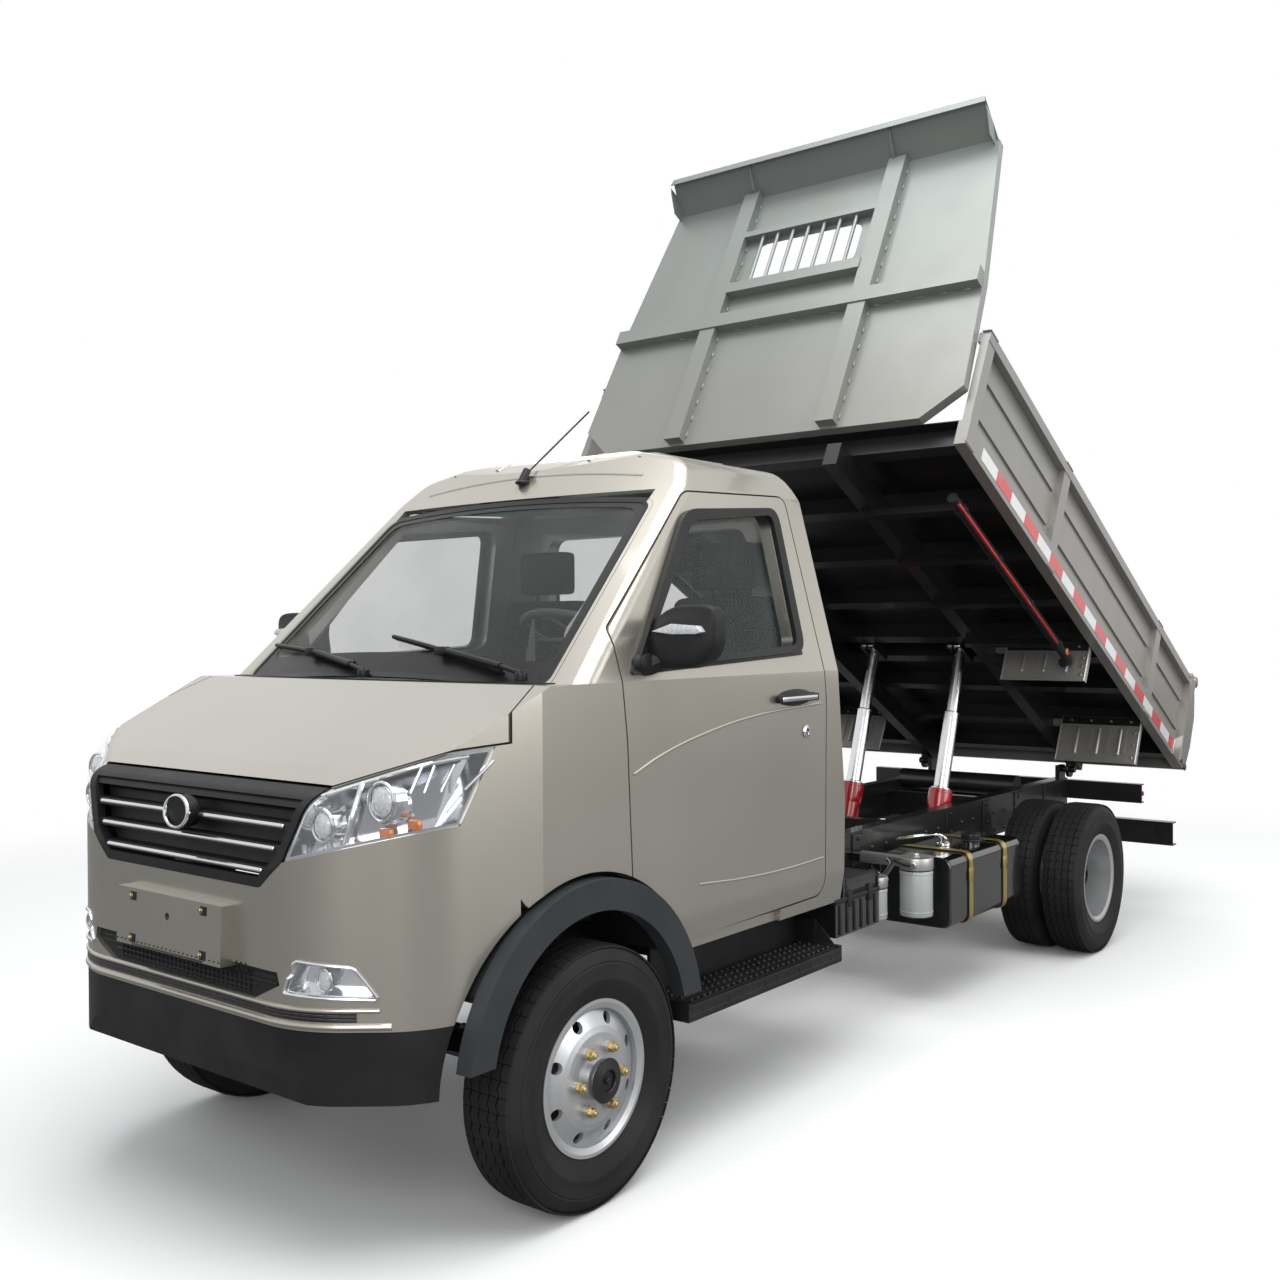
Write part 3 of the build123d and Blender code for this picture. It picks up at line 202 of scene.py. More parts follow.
class Finish:
    """One material and the nodes that it is made of."""

    def __init__(self, name):
        self.material = MATERIAL[name] = bpy.data.materials.new(name)
        self.material.use_nodes = True
        self.tree = self.material.node_tree
        self.shader = self.tree.nodes["Principled BSDF"]
        self.place = self.node("ShaderNodeTexCoord").outputs["Object"]

    def node(self, kind, settings=None, inputs=None):
        node = self.tree.nodes.new(kind)
        for key, value in (settings or {}).items():
            setattr(node, key, value)
        for key, value in (inputs or {}).items():
            self.feed(node.inputs[key], value)
        return node

    def feed(self, socket, value):
        if isinstance(value, Amount):
            self.tree.links.new(value.socket, socket)
        elif isinstance(value, bpy.types.NodeSocket):
            self.tree.links.new(value, socket)
        elif socket.type == "RGBA":
            socket.default_value = (*value, 1)
        else:
            socket.default_value = value

    def noise(self, scale, detail=3.0, stretch=None):
        place = self.place
        if stretch:
            place = self.node("ShaderNodeMapping", {}, {"Vector": place, "Scale": stretch}).outputs[0]
        node = self.node("ShaderNodeTexNoise", {}, {"Vector": place, "Scale": scale, "Detail": detail})
        return Amount(self, node.outputs["Fac"])

    def uneven(self, middle, scale, detail, spread):
        """A number that drifts about its middle."""
        return middle + (self.noise(scale, detail) - 0.5) * spread

    def cells(self, scale, feature="F1", output="Distance"):
        node = self.node("ShaderNodeTexVoronoi", {"feature": feature}, {"Vector": self.place, "Scale": scale})
        return Amount(self, node.outputs[output])

    def wave(self, scale, direction):
        node = self.node("ShaderNodeTexWave", {"bands_direction": direction},
                         {"Vector": self.place, "Scale": scale})
        return Amount(self, node.outputs["Fac"])

    def axis(self, name):
        return Amount(self, self.node("ShaderNodeSeparateXYZ", {}, {0: self.place}).outputs[name])

    def mix(self, factor, first, second):
        node = self.node("ShaderNodeMix", {"data_type": "RGBA"}, {0: factor, 6: first, 7: second})
        return node.outputs[2]

    def bump(self, height, strength, distance):
        node = self.node("ShaderNodeBump", {}, {"Height": height, "Strength": strength, "Distance": distance})
        return node.outputs["Normal"]

    def cover(self, **sockets):
        for name, value in sockets.items():
            self.feed(self.shader.inputs[name.replace("_", " ")], value)


def scaled(colour, by):
    return tuple(channel * by for channel in colour)


def soiled(finish, colour, amount, top):
    """The colour with road dust, thickest low down."""
    dust = bpy.context.scene.truck_paint.dust
    low = 1 - finish.axis("Z").step(0.05, top)
    patches = finish.noise(6.0, 6.0).step(0.35, 0.75)
    return finish.mix((low * patches * amount).clamped(), colour, tuple(dust))


def painted(name, colour, shade, roughness, metallic, coat, peel, dust, top):
    """Sprayed paint: slow drift of tone, fine peel and dust up to a height."""
    finish = Finish(name)
    base = finish.mix(finish.noise(2.2, 4.0).step(0.3, 0.7), colour, shade)
    finish.cover(Base_Color=soiled(finish, base, dust, top), Metallic=metallic,
                 Roughness=finish.uneven(roughness, 9.0, 4.0, 0.12), Coat_Weight=coat, Coat_Roughness=0.06,
                 Normal=finish.bump(finish.noise(180.0, 2.0), peel, 0.0006))


def moulded(name, colour, shade, roughness, grain, depth, dust=0.07):
    """Grained plastic or rubber: cells for the grain, dust low down."""
    finish = Finish(name)
    base = finish.mix(finish.noise(5.0, 5.0).step(0.3, 0.75), colour, shade)
    finish.cover(Base_Color=soiled(finish, base, dust, 1.1), Specular_IOR_Level=0.22,
                 Roughness=finish.uneven(roughness, 30.0, 3.0, 0.15),
                 Normal=finish.bump(finish.cells(grain), depth, 0.0005))


def bed_height(finish):
    """Height over the bed's own base line, square to its floor."""
    up = (finish.axis("Z") - HINGE.z) * math.cos(BED_TILT)
    return up + (finish.axis("Y") - HINGE.y) * math.sin(BED_TILT)


def bed_along(finish):
    """Place along the bed's floor, counted from the hinge and negative ahead of it."""
    back = (finish.axis("Y") - HINGE.y) * math.cos(BED_TILT)
    return back - (finish.axis("Z") - HINGE.z) * math.sin(BED_TILT)


CAD_FINISH = {"wheel_flares": "flare_grey", "bed_floor": "bed_floor", "bed_guards": "bed_guards"}


class TRUCK_OT_finishes(bpy.types.Operator):
    """Makes every material and gives the CAD nodes theirs"""
    bl_idname = "truck.finishes"
    bl_label = "Finishes"

    def execute(self, context):
        paint = context.scene.truck_paint
        black, red, bed = tuple(paint.frame_black), tuple(paint.red), tuple(paint.bed)
        painted("frame_black", black, scaled(black, 1.9), 0.34, 0.0, 0.25, 0.16, 0.10, 0.8)
        painted("tank_black", scaled(black, 0.8), black, 0.16, 0.0, 0.9, 0.05, 0.12, 0.6)
        painted("cast_parts", (0.022, 0.022, 0.023), (0.045, 0.04, 0.035), 0.5, 0.3, 0.0, 0.6, 0.5, 0.8)
        painted("cylinder_red", red, scaled(red, 0.75), 0.22, 0.0, 0.8, 0.06, 0.05, 0.5)
        painted("rim_silver", (0.52, 0.53, 0.545), (0.40, 0.41, 0.42), 0.3, 0.55, 0.3, 0.12, 0.25, 0.6)
        painted("lamp_bowl", (0.82, 0.83, 0.85), (0.62, 0.63, 0.65), 0.12, 1.0, 0.0, 0.02, 0.0, 0.5)
        painted("silver_trim", (0.72, 0.73, 0.74), (0.6, 0.61, 0.62), 0.16, 1.0, 0.2, 0.03, 0.03, 0.7)
        painted("strap_yellow", tuple(paint.strap), scaled(paint.strap, 0.6), 0.3, 0.75, 0.1, 0.2, 0.1, 0.6)
        painted("bolt_gold", (0.62, 0.5, 0.26), (0.4, 0.33, 0.2), 0.32, 0.9, 0.0, 0.1, 0.1, 0.6)
        painted("filter_grey", (0.42, 0.45, 0.44), (0.34, 0.36, 0.35), 0.35, 0.1, 0.3, 0.08, 0.1, 0.6)
        painted("alloy", (0.5, 0.5, 0.49), (0.36, 0.36, 0.35), 0.38, 0.85, 0.0, 0.5, 0.12, 0.7)
        moulded("cabin_plastic", (0.05, 0.05, 0.053), (0.065, 0.064, 0.066), 0.55, 900.0, 0.25, 0.05)
        moulded("black_plastic", (0.009, 0.0095, 0.0105), (0.014, 0.0145, 0.0155), 0.46, 1200.0, 0.22)
        moulded("trim_black", (0.012, 0.012, 0.013), (0.018, 0.018, 0.018), 0.3, 1500.0, 0.12, 0.05)
        moulded("tyre", (0.009, 0.009, 0.0095), (0.015, 0.015, 0.015), 0.66, 700.0, 0.35, 0.05)
        moulded("flare_grey", (0.026, 0.031, 0.034), (0.034, 0.038, 0.041), 0.42, 1100.0, 0.2, 0.06)
        self.cab_paint(tuple(paint.cab))
        self.bed_paint("bed_grey", bed)
        # Painted shade: the floor's underside, below SHADED_UNDER_BED, is laid in frame black because it lies in
        # shadow.
        self.bed_paint("bed_floor", bed, black, lambda finish: bed_height(finish) < SHADED_UNDER_BED)
        self.bed_paint("bed_guards", bed, black, lambda finish: bed_along(finish) < -1.25)
        self.fabric()
        self.polished()
        self.clear("glass", (0.05, 0.07, 0.065), 0.16, sun_band=True)
        self.clear("lens", (0.8, 0.83, 0.86), 0.05)
        for name, tint in (("red_lamp", (0.42, 0.008, 0.01)), ("amber_lamp", (0.75, 0.2, 0.01)),
                           ("clear_lamp", (0.7, 0.72, 0.74))):
            self.prisms(name, tint)
        self.tape("tape_red", (0.62, 0.012, 0.02))
        self.tape("tape_white", (0.75, 0.76, 0.77))
        for name, node in frame["nodes"].items():
            coated(node, CAD_FINISH.get(name, SLOT_OF[name]))
        return {"FINISHED"}

    def cab_paint(self, colour):
        finish = Finish("cab_paint")
        base = finish.mix(finish.noise(1.3, 2.0).step(0.3, 0.7), colour, scaled(colour, 0.93))
        base = finish.mix(finish.cells(2600.0, output="Color") * 0.16, base, scaled(colour, 1.35))
        finish.cover(Base_Color=soiled(finish, base, 0.12, 0.75), Metallic=0.82,
                     Roughness=finish.uneven(0.3, 4.0, 3.0, 0.06), Coat_Weight=0.7, Coat_Roughness=0.05,
                     Normal=finish.bump(finish.noise(90.0, 1.0), 0.03, 0.0006))

    def bed_paint(self, name, colour, under=None, where=None):
        """Painted reflection by height, warmer low down and cooler high up; clouded and scuffed; under covers
        where.
        """
        red, green, blue = colour
        finish = Finish(name)
        # Painted reflection: a cooler sky tint high up and a warmer ground bounce low down, set by height alone.
        high = finish.axis("Z").step(1.7, 3.3)
        base = finish.mix(high, (red * 1.1, green * 1.02, blue * 0.98), (red * 0.93, green, blue * 0.99))
        cloud = finish.noise(3.4, 5.0, (1.0, 1.0, 0.45)).step(0.25, 0.75)
        base = finish.mix(cloud * 0.35, base, scaled(colour, 0.82))
        scuff = finish.noise(24.0, 8.0, (1.0, 0.2, 1.0)).step(0.66, 0.82)
        base = finish.mix(scuff * 0.3, base, scaled(colour, 1.3))
        # under is painted shade on the bed floor's underside, and real black on the guards ahead of their sleeves.
        if under:
            base = finish.mix(where(finish), base, under)
        finish.cover(Base_Color=base, Roughness=finish.uneven(0.36, 7.0, 4.0, 0.16), Metallic=0.4,
                     Coat_Weight=0.15, Coat_Roughness=0.15,
                     Normal=finish.bump(finish.noise(140.0, 3.0), 0.14, 0.0006))

    def fabric(self):
        finish = Finish("seat_fabric")
        yarn = abs(finish.wave(150.0, "X") - finish.wave(150.0, "Z"))
        base = finish.mix(yarn, (0.010, 0.010, 0.012), (0.014, 0.014, 0.016))
        base = finish.mix(finish.noise(40.0, 4.0).step(0.4, 0.7) * 0.5, base, (0.03, 0.03, 0.033))
        finish.cover(Base_Color=base, Roughness=0.9, Specular_IOR_Level=0.15,
                     Normal=finish.bump(yarn, 0.1, 0.0003))

    def polished(self):
        finish = Finish("cylinder_steel")
        drawn = finish.noise(60.0, 3.0, (1.0, 1.0, 14.0))
        finish.cover(Base_Color=finish.mix(drawn, (0.78, 0.79, 0.8), (0.62, 0.63, 0.65)), Metallic=1.0,
                     Roughness=0.12 + drawn * 0.12, Normal=finish.bump(drawn, 0.03, 0.0004))

    def clear(self, name, tint, alpha, sun_band=False):
        """Glass with a thin film of dirt, and a green band along the windscreen's head."""
        finish = Finish(name)
        film = finish.noise(3.0, 5.0).step(0.35, 0.8)
        shade = finish.mix(film, tint, scaled(tint, 1.25))
        veil = alpha + film * 0.05
        if sun_band:
            head = finish.axis("Z").step(1.80, 1.868)
            shade = finish.mix(head, shade, (0.03, 0.30, 0.21))
            veil = veil + head * 0.38
        finish.cover(Base_Color=shade, Roughness=0.02, Alpha=veil, Coat_Weight=1.0, Coat_Roughness=0.02,
                     Normal=finish.bump(finish.noise(2.0, 1.0), 0.02, 0.002))

    def prisms(self, name, tint):
        finish = Finish(name)
        cells = finish.cells(160.0)
        finish.cover(Base_Color=finish.mix(cells, tint, scaled(tint, 0.6)), Roughness=0.12, Coat_Weight=1.0,
                     Normal=finish.bump(cells, 0.5, 0.001))

    def tape(self, name, tint):
        finish = Finish(name)
        comb = finish.cells(240.0, feature="DISTANCE_TO_EDGE").step(0.02, 0.06)
        base = finish.mix(comb, scaled(tint, 0.8), tint)
        base = finish.mix(finish.noise(12.0, 6.0).step(0.5, 0.8) * 0.25, base, (0.3, 0.29, 0.28))
        finish.cover(Base_Color=base, Roughness=0.3, Coat_Weight=0.5, Normal=finish.bump(comb, 0.25, 0.0004))


# Shaping by operators


def only(*objects):
    bpy.ops.object.select_all(action="DESELECT")
    for obj in objects:
        obj.select_set(True)
    bpy.context.view_layer.objects.active = objects[0]


def settle(obj, name=None):
    """The place, turn and scale go into the mesh."""
    only(obj)
    bpy.ops.object.transform_apply(location=True, rotation=True, scale=True)
    if name:
        obj.name = obj.data.name = name
    return obj


def added(name, primitive, scale=(1, 1, 1), **settings):
    """A primitive by itself, settled."""
    bpy.ops.object.select_all(action="DESELECT")
    primitive(**settings)
    bpy.context.object.scale = scale
    return settle(bpy.context.object, name)


def moved(obj, matrix):
    obj.matrix_world = matrix @ obj.matrix_world
    return settle(obj)


def stretched(obj, centre, scale):
    """Scaled about a point."""
    back = Matrix.Translation(-centre)
    return moved(obj, Matrix.Translation(centre) @ Matrix.Diagonal((*scale, 1)) @ back)


class shaping:
    """Edit mode on one piece, with all of it selected until pick selects a part."""

    def __init__(self, obj):
        self.obj = obj

    def __enter__(self):
        only(self.obj)
        bpy.ops.object.mode_set(mode="EDIT")
        bpy.ops.mesh.select_all(action="SELECT")
        return self

    def __exit__(self, *problem):
        bpy.ops.object.mode_set(mode="OBJECT")

    def pick(self, kind, test):
        """Selects the faces by their normal, or the edges or corners by their place."""
        bpy.ops.mesh.select_mode(type=kind)
        bpy.ops.mesh.select_all(action="DESELECT")
        mesh = bmesh.from_edit_mesh(self.obj.data)
        if kind == "FACE":
            chosen = [face for face in mesh.faces if test(face.normal)]
        elif kind == "EDGE":
            chosen = [edge for edge in mesh.edges if test((edge.verts[0].co + edge.verts[1].co) / 2)]
        else:
            chosen = [vert for vert in mesh.verts if test(vert.co)]
        if not chosen:
            raise RuntimeError(f"nothing picked on {self.obj.name}")
        for part in chosen:
            part.select_set(True)
        mesh.select_flush_mode()
        bmesh.update_edit_mesh(self.obj.data)

    def shift(self, test, way):
        """Moves the corners that the test picks."""
        self.pick("VERT", test)
        bpy.ops.transform.translate(value=way)


def bevelled(obj, width, segments=2, test=None):
    with shaping(obj) as work:
        if test:
            work.pick("EDGE", test)
        bpy.ops.mesh.bevel(offset=width, segments=segments, affect="EDGES")
    return obj


def cuboid(name, low, high, edge=0.0, segments=2):
    """A block from corner to corner, its edges bevelled by edge."""
    low, high = Vector(low), Vector(high)
    obj = added(name, bpy.ops.mesh.primitive_cube_add, high - low, size=1, location=(low + high) / 2)
    return bevelled(obj, edge, segments) if edge else obj


AXIS_TURN = {"X": (0, math.radians(90), 0), "Y": (math.radians(90), 0, 0), "Z": (0, 0, 0)}


def drum(name, centre, radius, depth, axis="Z", sides=32, far_radius=None, edge=0.0, segments=2, test=None):
    """A cylinder or cone about its centre; only the edges that pass the test are bevelled."""
    obj = added(name, bpy.ops.mesh.primitive_cone_add, vertices=sides, radius1=radius, depth=depth,
                location=centre, radius2=radius if far_radius is None else far_radius,
                rotation=AXIS_TURN[axis])
    return bevelled(obj, edge, segments, test) if edge else obj


def ball(name, centre, size, segments=24):
    return added(name, bpy.ops.mesh.primitive_uv_sphere_add, size, segments=segments,
                 ring_count=segments // 2, radius=1, location=centre)


def ring(name, centre, radius, thick, axis="Z", major=48, minor=10):
    return added(name, bpy.ops.mesh.primitive_torus_add, major_radius=radius, minor_radius=thick,
                 major_segments=major, minor_segments=minor, location=centre, rotation=AXIS_TURN[axis])


def loop_of(name, points, fill="NOTHING"):
    """A closed loop of edges through the points."""
    obj = added(name, bpy.ops.mesh.primitive_circle_add, vertices=len(points), fill_type=fill)
    for vertex, point in zip(obj.data.vertices, points):
        vertex.co = point
    return obj


def sunk(obj, test, rim, depth):
    """Faces inset by rim and pushed in by depth; a negative depth raises them."""
    with shaping(obj) as work:
        work.pick("FACE", test)
        bpy.ops.mesh.inset(thickness=rim, depth=0)
        bpy.ops.mesh.inset(thickness=abs(depth) * 0.3, depth=-depth)
    return obj


def with_modifier(obj, kind, **settings):
    only(obj)
    modifier = obj.modifiers.new(kind.title(), kind)
    for key, value in settings.items():
        setattr(modifier, key, value)
    bpy.ops.object.modifier_apply(modifier=modifier.name)
    return obj


MERGE = 0.00005


def outward(obj, merge=0.0):
    """Faces turned outwards, after corners closer than merge are made one."""
    with shaping(obj):
        if merge:
            bpy.ops.mesh.remove_doubles(threshold=merge)
        bpy.ops.mesh.normals_make_consistent(inside=False)
    return obj


def joined(name, pieces):
    only(*pieces)
    if len(pieces) > 1:
        bpy.ops.object.join()
    obj = bpy.context.object
    obj.name = obj.data.name = name
    return obj


def copied(obj, name, matrix):
    twin = obj.copy()
    twin.data = obj.data.copy()
    bpy.context.scene.collection.objects.link(twin)
    twin.name = twin.data.name = name
    return moved(twin, matrix)


def mirrored(obj, name):
    """A copy on the truck's other side, faces outwards again."""
    return outward(copied(obj, name, Matrix.Scale(-1, 4, (1, 0, 0))))


def plate(name, points, push, edge=0.0, segments=2):
    """A flat outline of points made solid by the push vector."""
    obj = loop_of(name, points, "NGON")
    with shaping(obj):
        bpy.ops.mesh.extrude_region_move(TRANSFORM_OT_translate={"value": tuple(push)})
    outward(obj)
    return bevelled(obj, edge, segments) if edge else obj


def band(name, outer, inner, thick, offset=1.0):
    """A closed band between two loops of as many points each."""
    obj = joined(name, [loop_of("loop", points) for points in (outer, inner)])
    with shaping(obj):
        bpy.ops.mesh.bridge_edge_loops()
    return with_modifier(outward(obj), "SOLIDIFY", thickness=thick, offset=offset)


def turned(name, points, axis, segments):
    """A closed outline turned once round an axis through the origin."""
    obj = loop_of(name, points)
    with shaping(obj):
        bpy.ops.mesh.spin(steps=segments, angle=math.tau, center=(0, 0, 0), axis=axis)
    return outward(obj, MERGE)


def pipe(name, points, radius, resolution=3, kind="BEZIER"):
    """A round hose or rod, bent smoothly through the points."""
    bpy.ops.object.select_all(action="DESELECT")
    bpy.ops.curve.primitive_bezier_curve_add()
    curve = bpy.context.object.data
    curve.splines.clear()
    curve.dimensions = "3D"
    spline = curve.splines.new(kind)
    if kind == "BEZIER":
        spline.bezier_points.add(len(points) - 1)
        for bezier, point in zip(spline.bezier_points, points):
            bezier.co = point
            bezier.handle_left_type = bezier.handle_right_type = "AUTO"
    else:
        spline.points.add(len(points) - 1)
        for corner, point in zip(spline.points, points):
            corner.co = (*point, 1)
    curve.bevel_depth = radius
    curve.bevel_resolution = resolution
    curve.resolution_u = 8
    curve.use_fill_caps = True
    only(bpy.context.object)
    bpy.ops.object.convert(target="MESH")
    return settle(bpy.context.object, name)


def bar(name, points, radius, resolution=3):
    """A round bar, straight from point to point."""
    return pipe(name, points, radius, resolution, "POLY")


def rounded(corners, radius, straight=8, turn=5):
    """Loop of 2-D points round corners, with the corners rounded."""
    points = []
    count = len(corners)
    for index in range(count):
        before, here, after = (Vector(corners[(index + step) % count]) for step in (-1, 0, 1))
        start = here + (before - here).normalized() * radius
        end = here + (after - here).normalized() * radius
        for t in steps(0.0, 1.0, turn + 1):
            points.append(start.lerp(here, t).lerp(here.lerp(end, t), t))
        stop = after + (here - after).normalized() * radius
        points += [end.lerp(stop, part / straight) for part in range(1, straight)]
    return points


def steps(first, last, count):
    return [first + (last - first) * number / (count - 1) for number in range(count)]


def bolt(centre, radius, axis="Z", way=1.0, height=0.006):
    """Hexagon head on a washer; way is the side that it faces."""
    toward = {"X": Vector((way, 0, 0)), "Y": Vector((0, way, 0)), "Z": Vector((0, 0, way))}[axis]
    head = drum("head", centre + toward * height * 0.5, radius, height, axis, 6, edge=radius * 0.12,
                segments=1)
    washer = drum("washer", centre + toward * 0.0006, radius * 1.35, 0.002, axis, 18, edge=0.0005,
                  segments=1)
    return joined("bolt", [head, washer])


# Finishing pieces and finding surfaces


def coated(obj, finish):
    """The finish on a node, or on a part before it is joined to others."""
    obj.data.materials.clear()
    obj.data.materials.append(MATERIAL[finish])
    return obj


def shown(obj, finish, body, angle=35.0):
    """Smooth shading and the body that it rides on."""
    only(obj)
    bpy.ops.object.shade_smooth_by_angle(angle=math.radians(angle))
    finish in set(SLOT_OF.values())
    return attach(obj, body)


def done(name, parts, finish, body="chassis", angle=35.0):
    """The parts as one finished piece."""
    return shown(coated(joined(name, parts), finish), finish, body, angle)


def both_sides(name, parts, finish, body="chassis", angle=35.0):
    """The parts as one piece and its twin on the truck's other side; {} in body is the side."""
    piece = joined(name, parts)
    done(f"{name}_right", [mirrored(piece, "twin")], finish, body.format("right"), angle)
    return done(f"{name}_left", [piece], finish, body.format("left"), angle)


def on_bed(name, parts, finish, angle=35.0):
    """The same for parts that are drawn on the flat bed."""
    return both_sides(name, [moved(joined(name, parts), BED)], finish, "bed", angle)


def touch(nodes, start, way, lift=0.0):
    """Where a ray from start first meets the named CAD nodes, lifted off the surface.

    A ray that falls through a shut gap is tried again a few millimetres to the side.
    """
    way = Vector(way).normalized()
    aside = Vector((0, 0, 1)) if abs(way.z) < 0.9 else Vector((0, 1, 0))
    for shift in (0, 0.006, -0.006, 0.012, -0.012, 0.02, -0.02):
        best = None
        for name in nodes.split():
            node = frame["nodes"][name]
            back = node.matrix_world.inverted()
            hit, place, normal, index = node.ray_cast(back @ (start + aside * shift), back.to_3x3() @ way)
            if hit:
                place = node.matrix_world @ place
                reach = (place - start).length
                if best is None or reach < best[0]:
                    best = (reach, place, (node.matrix_world.to_3x3() @ normal).normalized())
        if best:
            normal = best[2] if best[2].dot(way) < 0 else -best[2]
            return best[1] - aside * shift + normal * lift
    raise RuntimeError(f"no surface of {nodes} at {tuple(start)}")


NOSE = "bonnet wings bumper bumper_valance grille headlamps lamp_lenses"


def from_front(x, z, lift=0.0, inward=0.0):
    """On the nose as seen from ahead; inward moves the point back behind the lens."""
    return touch(NOSE, spot(x, -2.0, z), (0, 1, 0), lift) + Vector((0, inward, 0))


def from_side(nodes, y, z, lift=0.0):
    return touch(nodes, spot(3.0, y, z), (-1, 0, 0), lift)


def from_above(nodes, x, y, lift=0.0):
    return touch(nodes, spot(x, y, 4.0), (0, 0, -1), lift)


# Wheels


def wheel_place(end, side, tag, out=0.0):
    """Stands a piece that is drawn with its outer face along +X at a wheel."""
    turn = Matrix.Rotation(0 if side > 0 else math.pi, 4, "Z")
    return Matrix.Translation(PIVOT[f"roll_{end}_{tag}"] + Vector((side * out, 0, 0))) @ turn


class TRUCK_OT_tyres(bpy.types.Operator):
    """Tyres with zigzag ribs and ringed sidewalls"""
    bl_idname = "truck.tyres"
    bl_label = "Tyres"

    def execute(self, context):
        size = context.scene.truck_tyre
        tyre = joined("tyre", [self.carcass(size), self.tread(size)])
        for end, outs in (("front", (0.0,)), ("rear", (TWIN_OFFSET, -TWIN_OFFSET))):
            for side, tag in SIDES:
                copies = [copied(tyre, "tyre", wheel_place(end, side, tag, out)) for out in outs]
                piece = joined(f"tread_tyre_{end}_{tag}", copies)
                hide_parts(f"tyre_{end}_{tag}")
                done(f"tread_tyre_{end}_{tag}", [piece], "tyre", f"wheel_{end}_{tag}", 28)
        bpy.data.objects.remove(tyre)
        return {"FINISHED"}

    def carcass(self, size):
        """The outer section from the left bead to the crown and over, then back inside."""
        half, base = size.width / 2, size.radius - size.groove
        profile = [(-0.063, 0.179), (-0.066, 0.2), (-0.069, 0.206), (-half + 0.006, 0.226), (-half, 0.243),
                   (-half - 0.001, 0.248), (-half, 0.252), (-half, 0.268), (-half + 0.001, 0.284),
                   (-half + 0.0035, 0.287), (-half + 0.0025, 0.291), (-half + 0.009, 0.31),
                   (-half + 0.012, 0.3145), (-half + 0.016, base - 0.002), (-0.03, base), (0, base + 0.001)]
        profile += [(-x, radius) for x, radius in reversed(profile[:-1])]
        lining = [(0.05, 0.179), (0.072, 0.245), (0.058, 0.305)]
        lining += [(-x, radius) for x, radius in reversed(lining)]
        return turned("carcass", [Vector((x, 0, radius)) for x, radius in profile + lining], (1, 0, 0), 96)

    def tread(self, size):
        """Raised blocks of one pitch, repeated along a strip and bent round."""
        base = size.radius - size.groove
        length = math.tau * base / size.pitches
        shoulder, zigzag = 0.071, 0.0035
        blocks = []
        for low, high in ((-shoulder, -0.046), (-0.041, -0.017), (-0.013, 0.013), (0.017, 0.041),
                          (0.046, shoulder)):
            outer_left, outer_right = low == -shoulder, high == shoulder
            gap = 0.0016 if outer_left or outer_right else 0.0012
            left = [(low if outer_left else low + zigzag * k, t) for k, t in ((1, 0), (-1, 0.5), (1, 1))]
            right = [(high if outer_right else high + zigzag * k, t) for k, t in ((1, 1), (-1, 0.5), (1, 0))]
            outline = [Vector((x, (t - 0.5) * (length - gap), 0)) for x, t in left + right]
            block = plate("block", outline, (0, 0, size.groove + 0.0005))
            block = bevelled(block, 0.0008, 1, lambda place: place.z > size.groove)
            if outer_left or outer_right:
                with shaping(block) as work:
                    work.shift(lambda place: abs(place.x) > 0.068 and place.z > 0.004, (0, 0, -0.0035))
            blocks.append(block)
        strip = with_modifier(joined("strip", blocks), "ARRAY", count=size.pitches,
                              use_relative_offset=False, use_constant_offset=True,
                              constant_offset_displace=(0, length, 0))
        for vertex in strip.data.vertices:
            angle = vertex.co.y / (length * size.pitches) * math.tau
            reach = base + vertex.co.z
            vertex.co = (vertex.co.x, reach * math.sin(angle), reach * math.cos(angle))
        strip.data.update()
        return outward(strip, MERGE)


class TRUCK_OT_wheel_trim(bpy.types.Operator):
    """Wheel nuts with their studs, and hub caps, on the CAD rims"""
    bl_idname = "truck.wheel_trim"
    bl_label = "Wheel nuts and caps"

    def execute(self, context):
        for end, out, nut_face, cap_face, cap_radius in (("front", 0.0, 0.084, 0.096, 0.037),
                                                         ("rear", TWIN_OFFSET, -0.076, -0.008, 0.04)):
            nuts, cap = self.nuts(nut_face), self.cap(cap_face, cap_radius)
            for side, tag in SIDES:
                place = wheel_place(end, side, tag, out)
                for part, name, finish in ((nuts, "wheel_nuts", "bolt_gold"), (cap, "hub_cap", "trim_black")):
                    done(f"{name}_{end}_{tag}", [copied(part, name, place)], finish, f"wheel_{end}_{tag}", 40)
            bpy.data.objects.remove(nuts)
            bpy.data.objects.remove(cap)
        return {"FINISHED"}

    def nuts(self, face, count=6, circle=0.082):
        parts = []
        for number in range(count):
            angle = math.tau * number / count
            y, z = circle * math.cos(angle), circle * math.sin(angle)
            parts += [drum("nut", (face + 0.006, y, z), 0.0125, 0.016, "X", 6, edge=0.0016,
                           test=lambda place: place.x > face + 0.01),
                      drum("seat", (face - 0.001, y, z), 0.0155, 0.005, "X", 20),
                      drum("stud", (face + 0.014, y, z), 0.0065, 0.014, "X", 12, edge=0.001, segments=1)]
        return joined("nuts", parts)

    def cap(self, face, radius):
        cup = drum("cup", (face, 0, 0), radius, 0.018, "X", edge=0.004, segments=3,
                   test=lambda place: place.x > face + 0.005)
        cup = sunk(cup, lambda normal: normal.x > 0.9, 0.008, 0.003)
        boss = drum("boss", (face + 0.009, 0, 0), 0.009, 0.012, "X", 6, edge=0.0012, segments=1)
        return joined("cap", [cup, boss])


# Cab


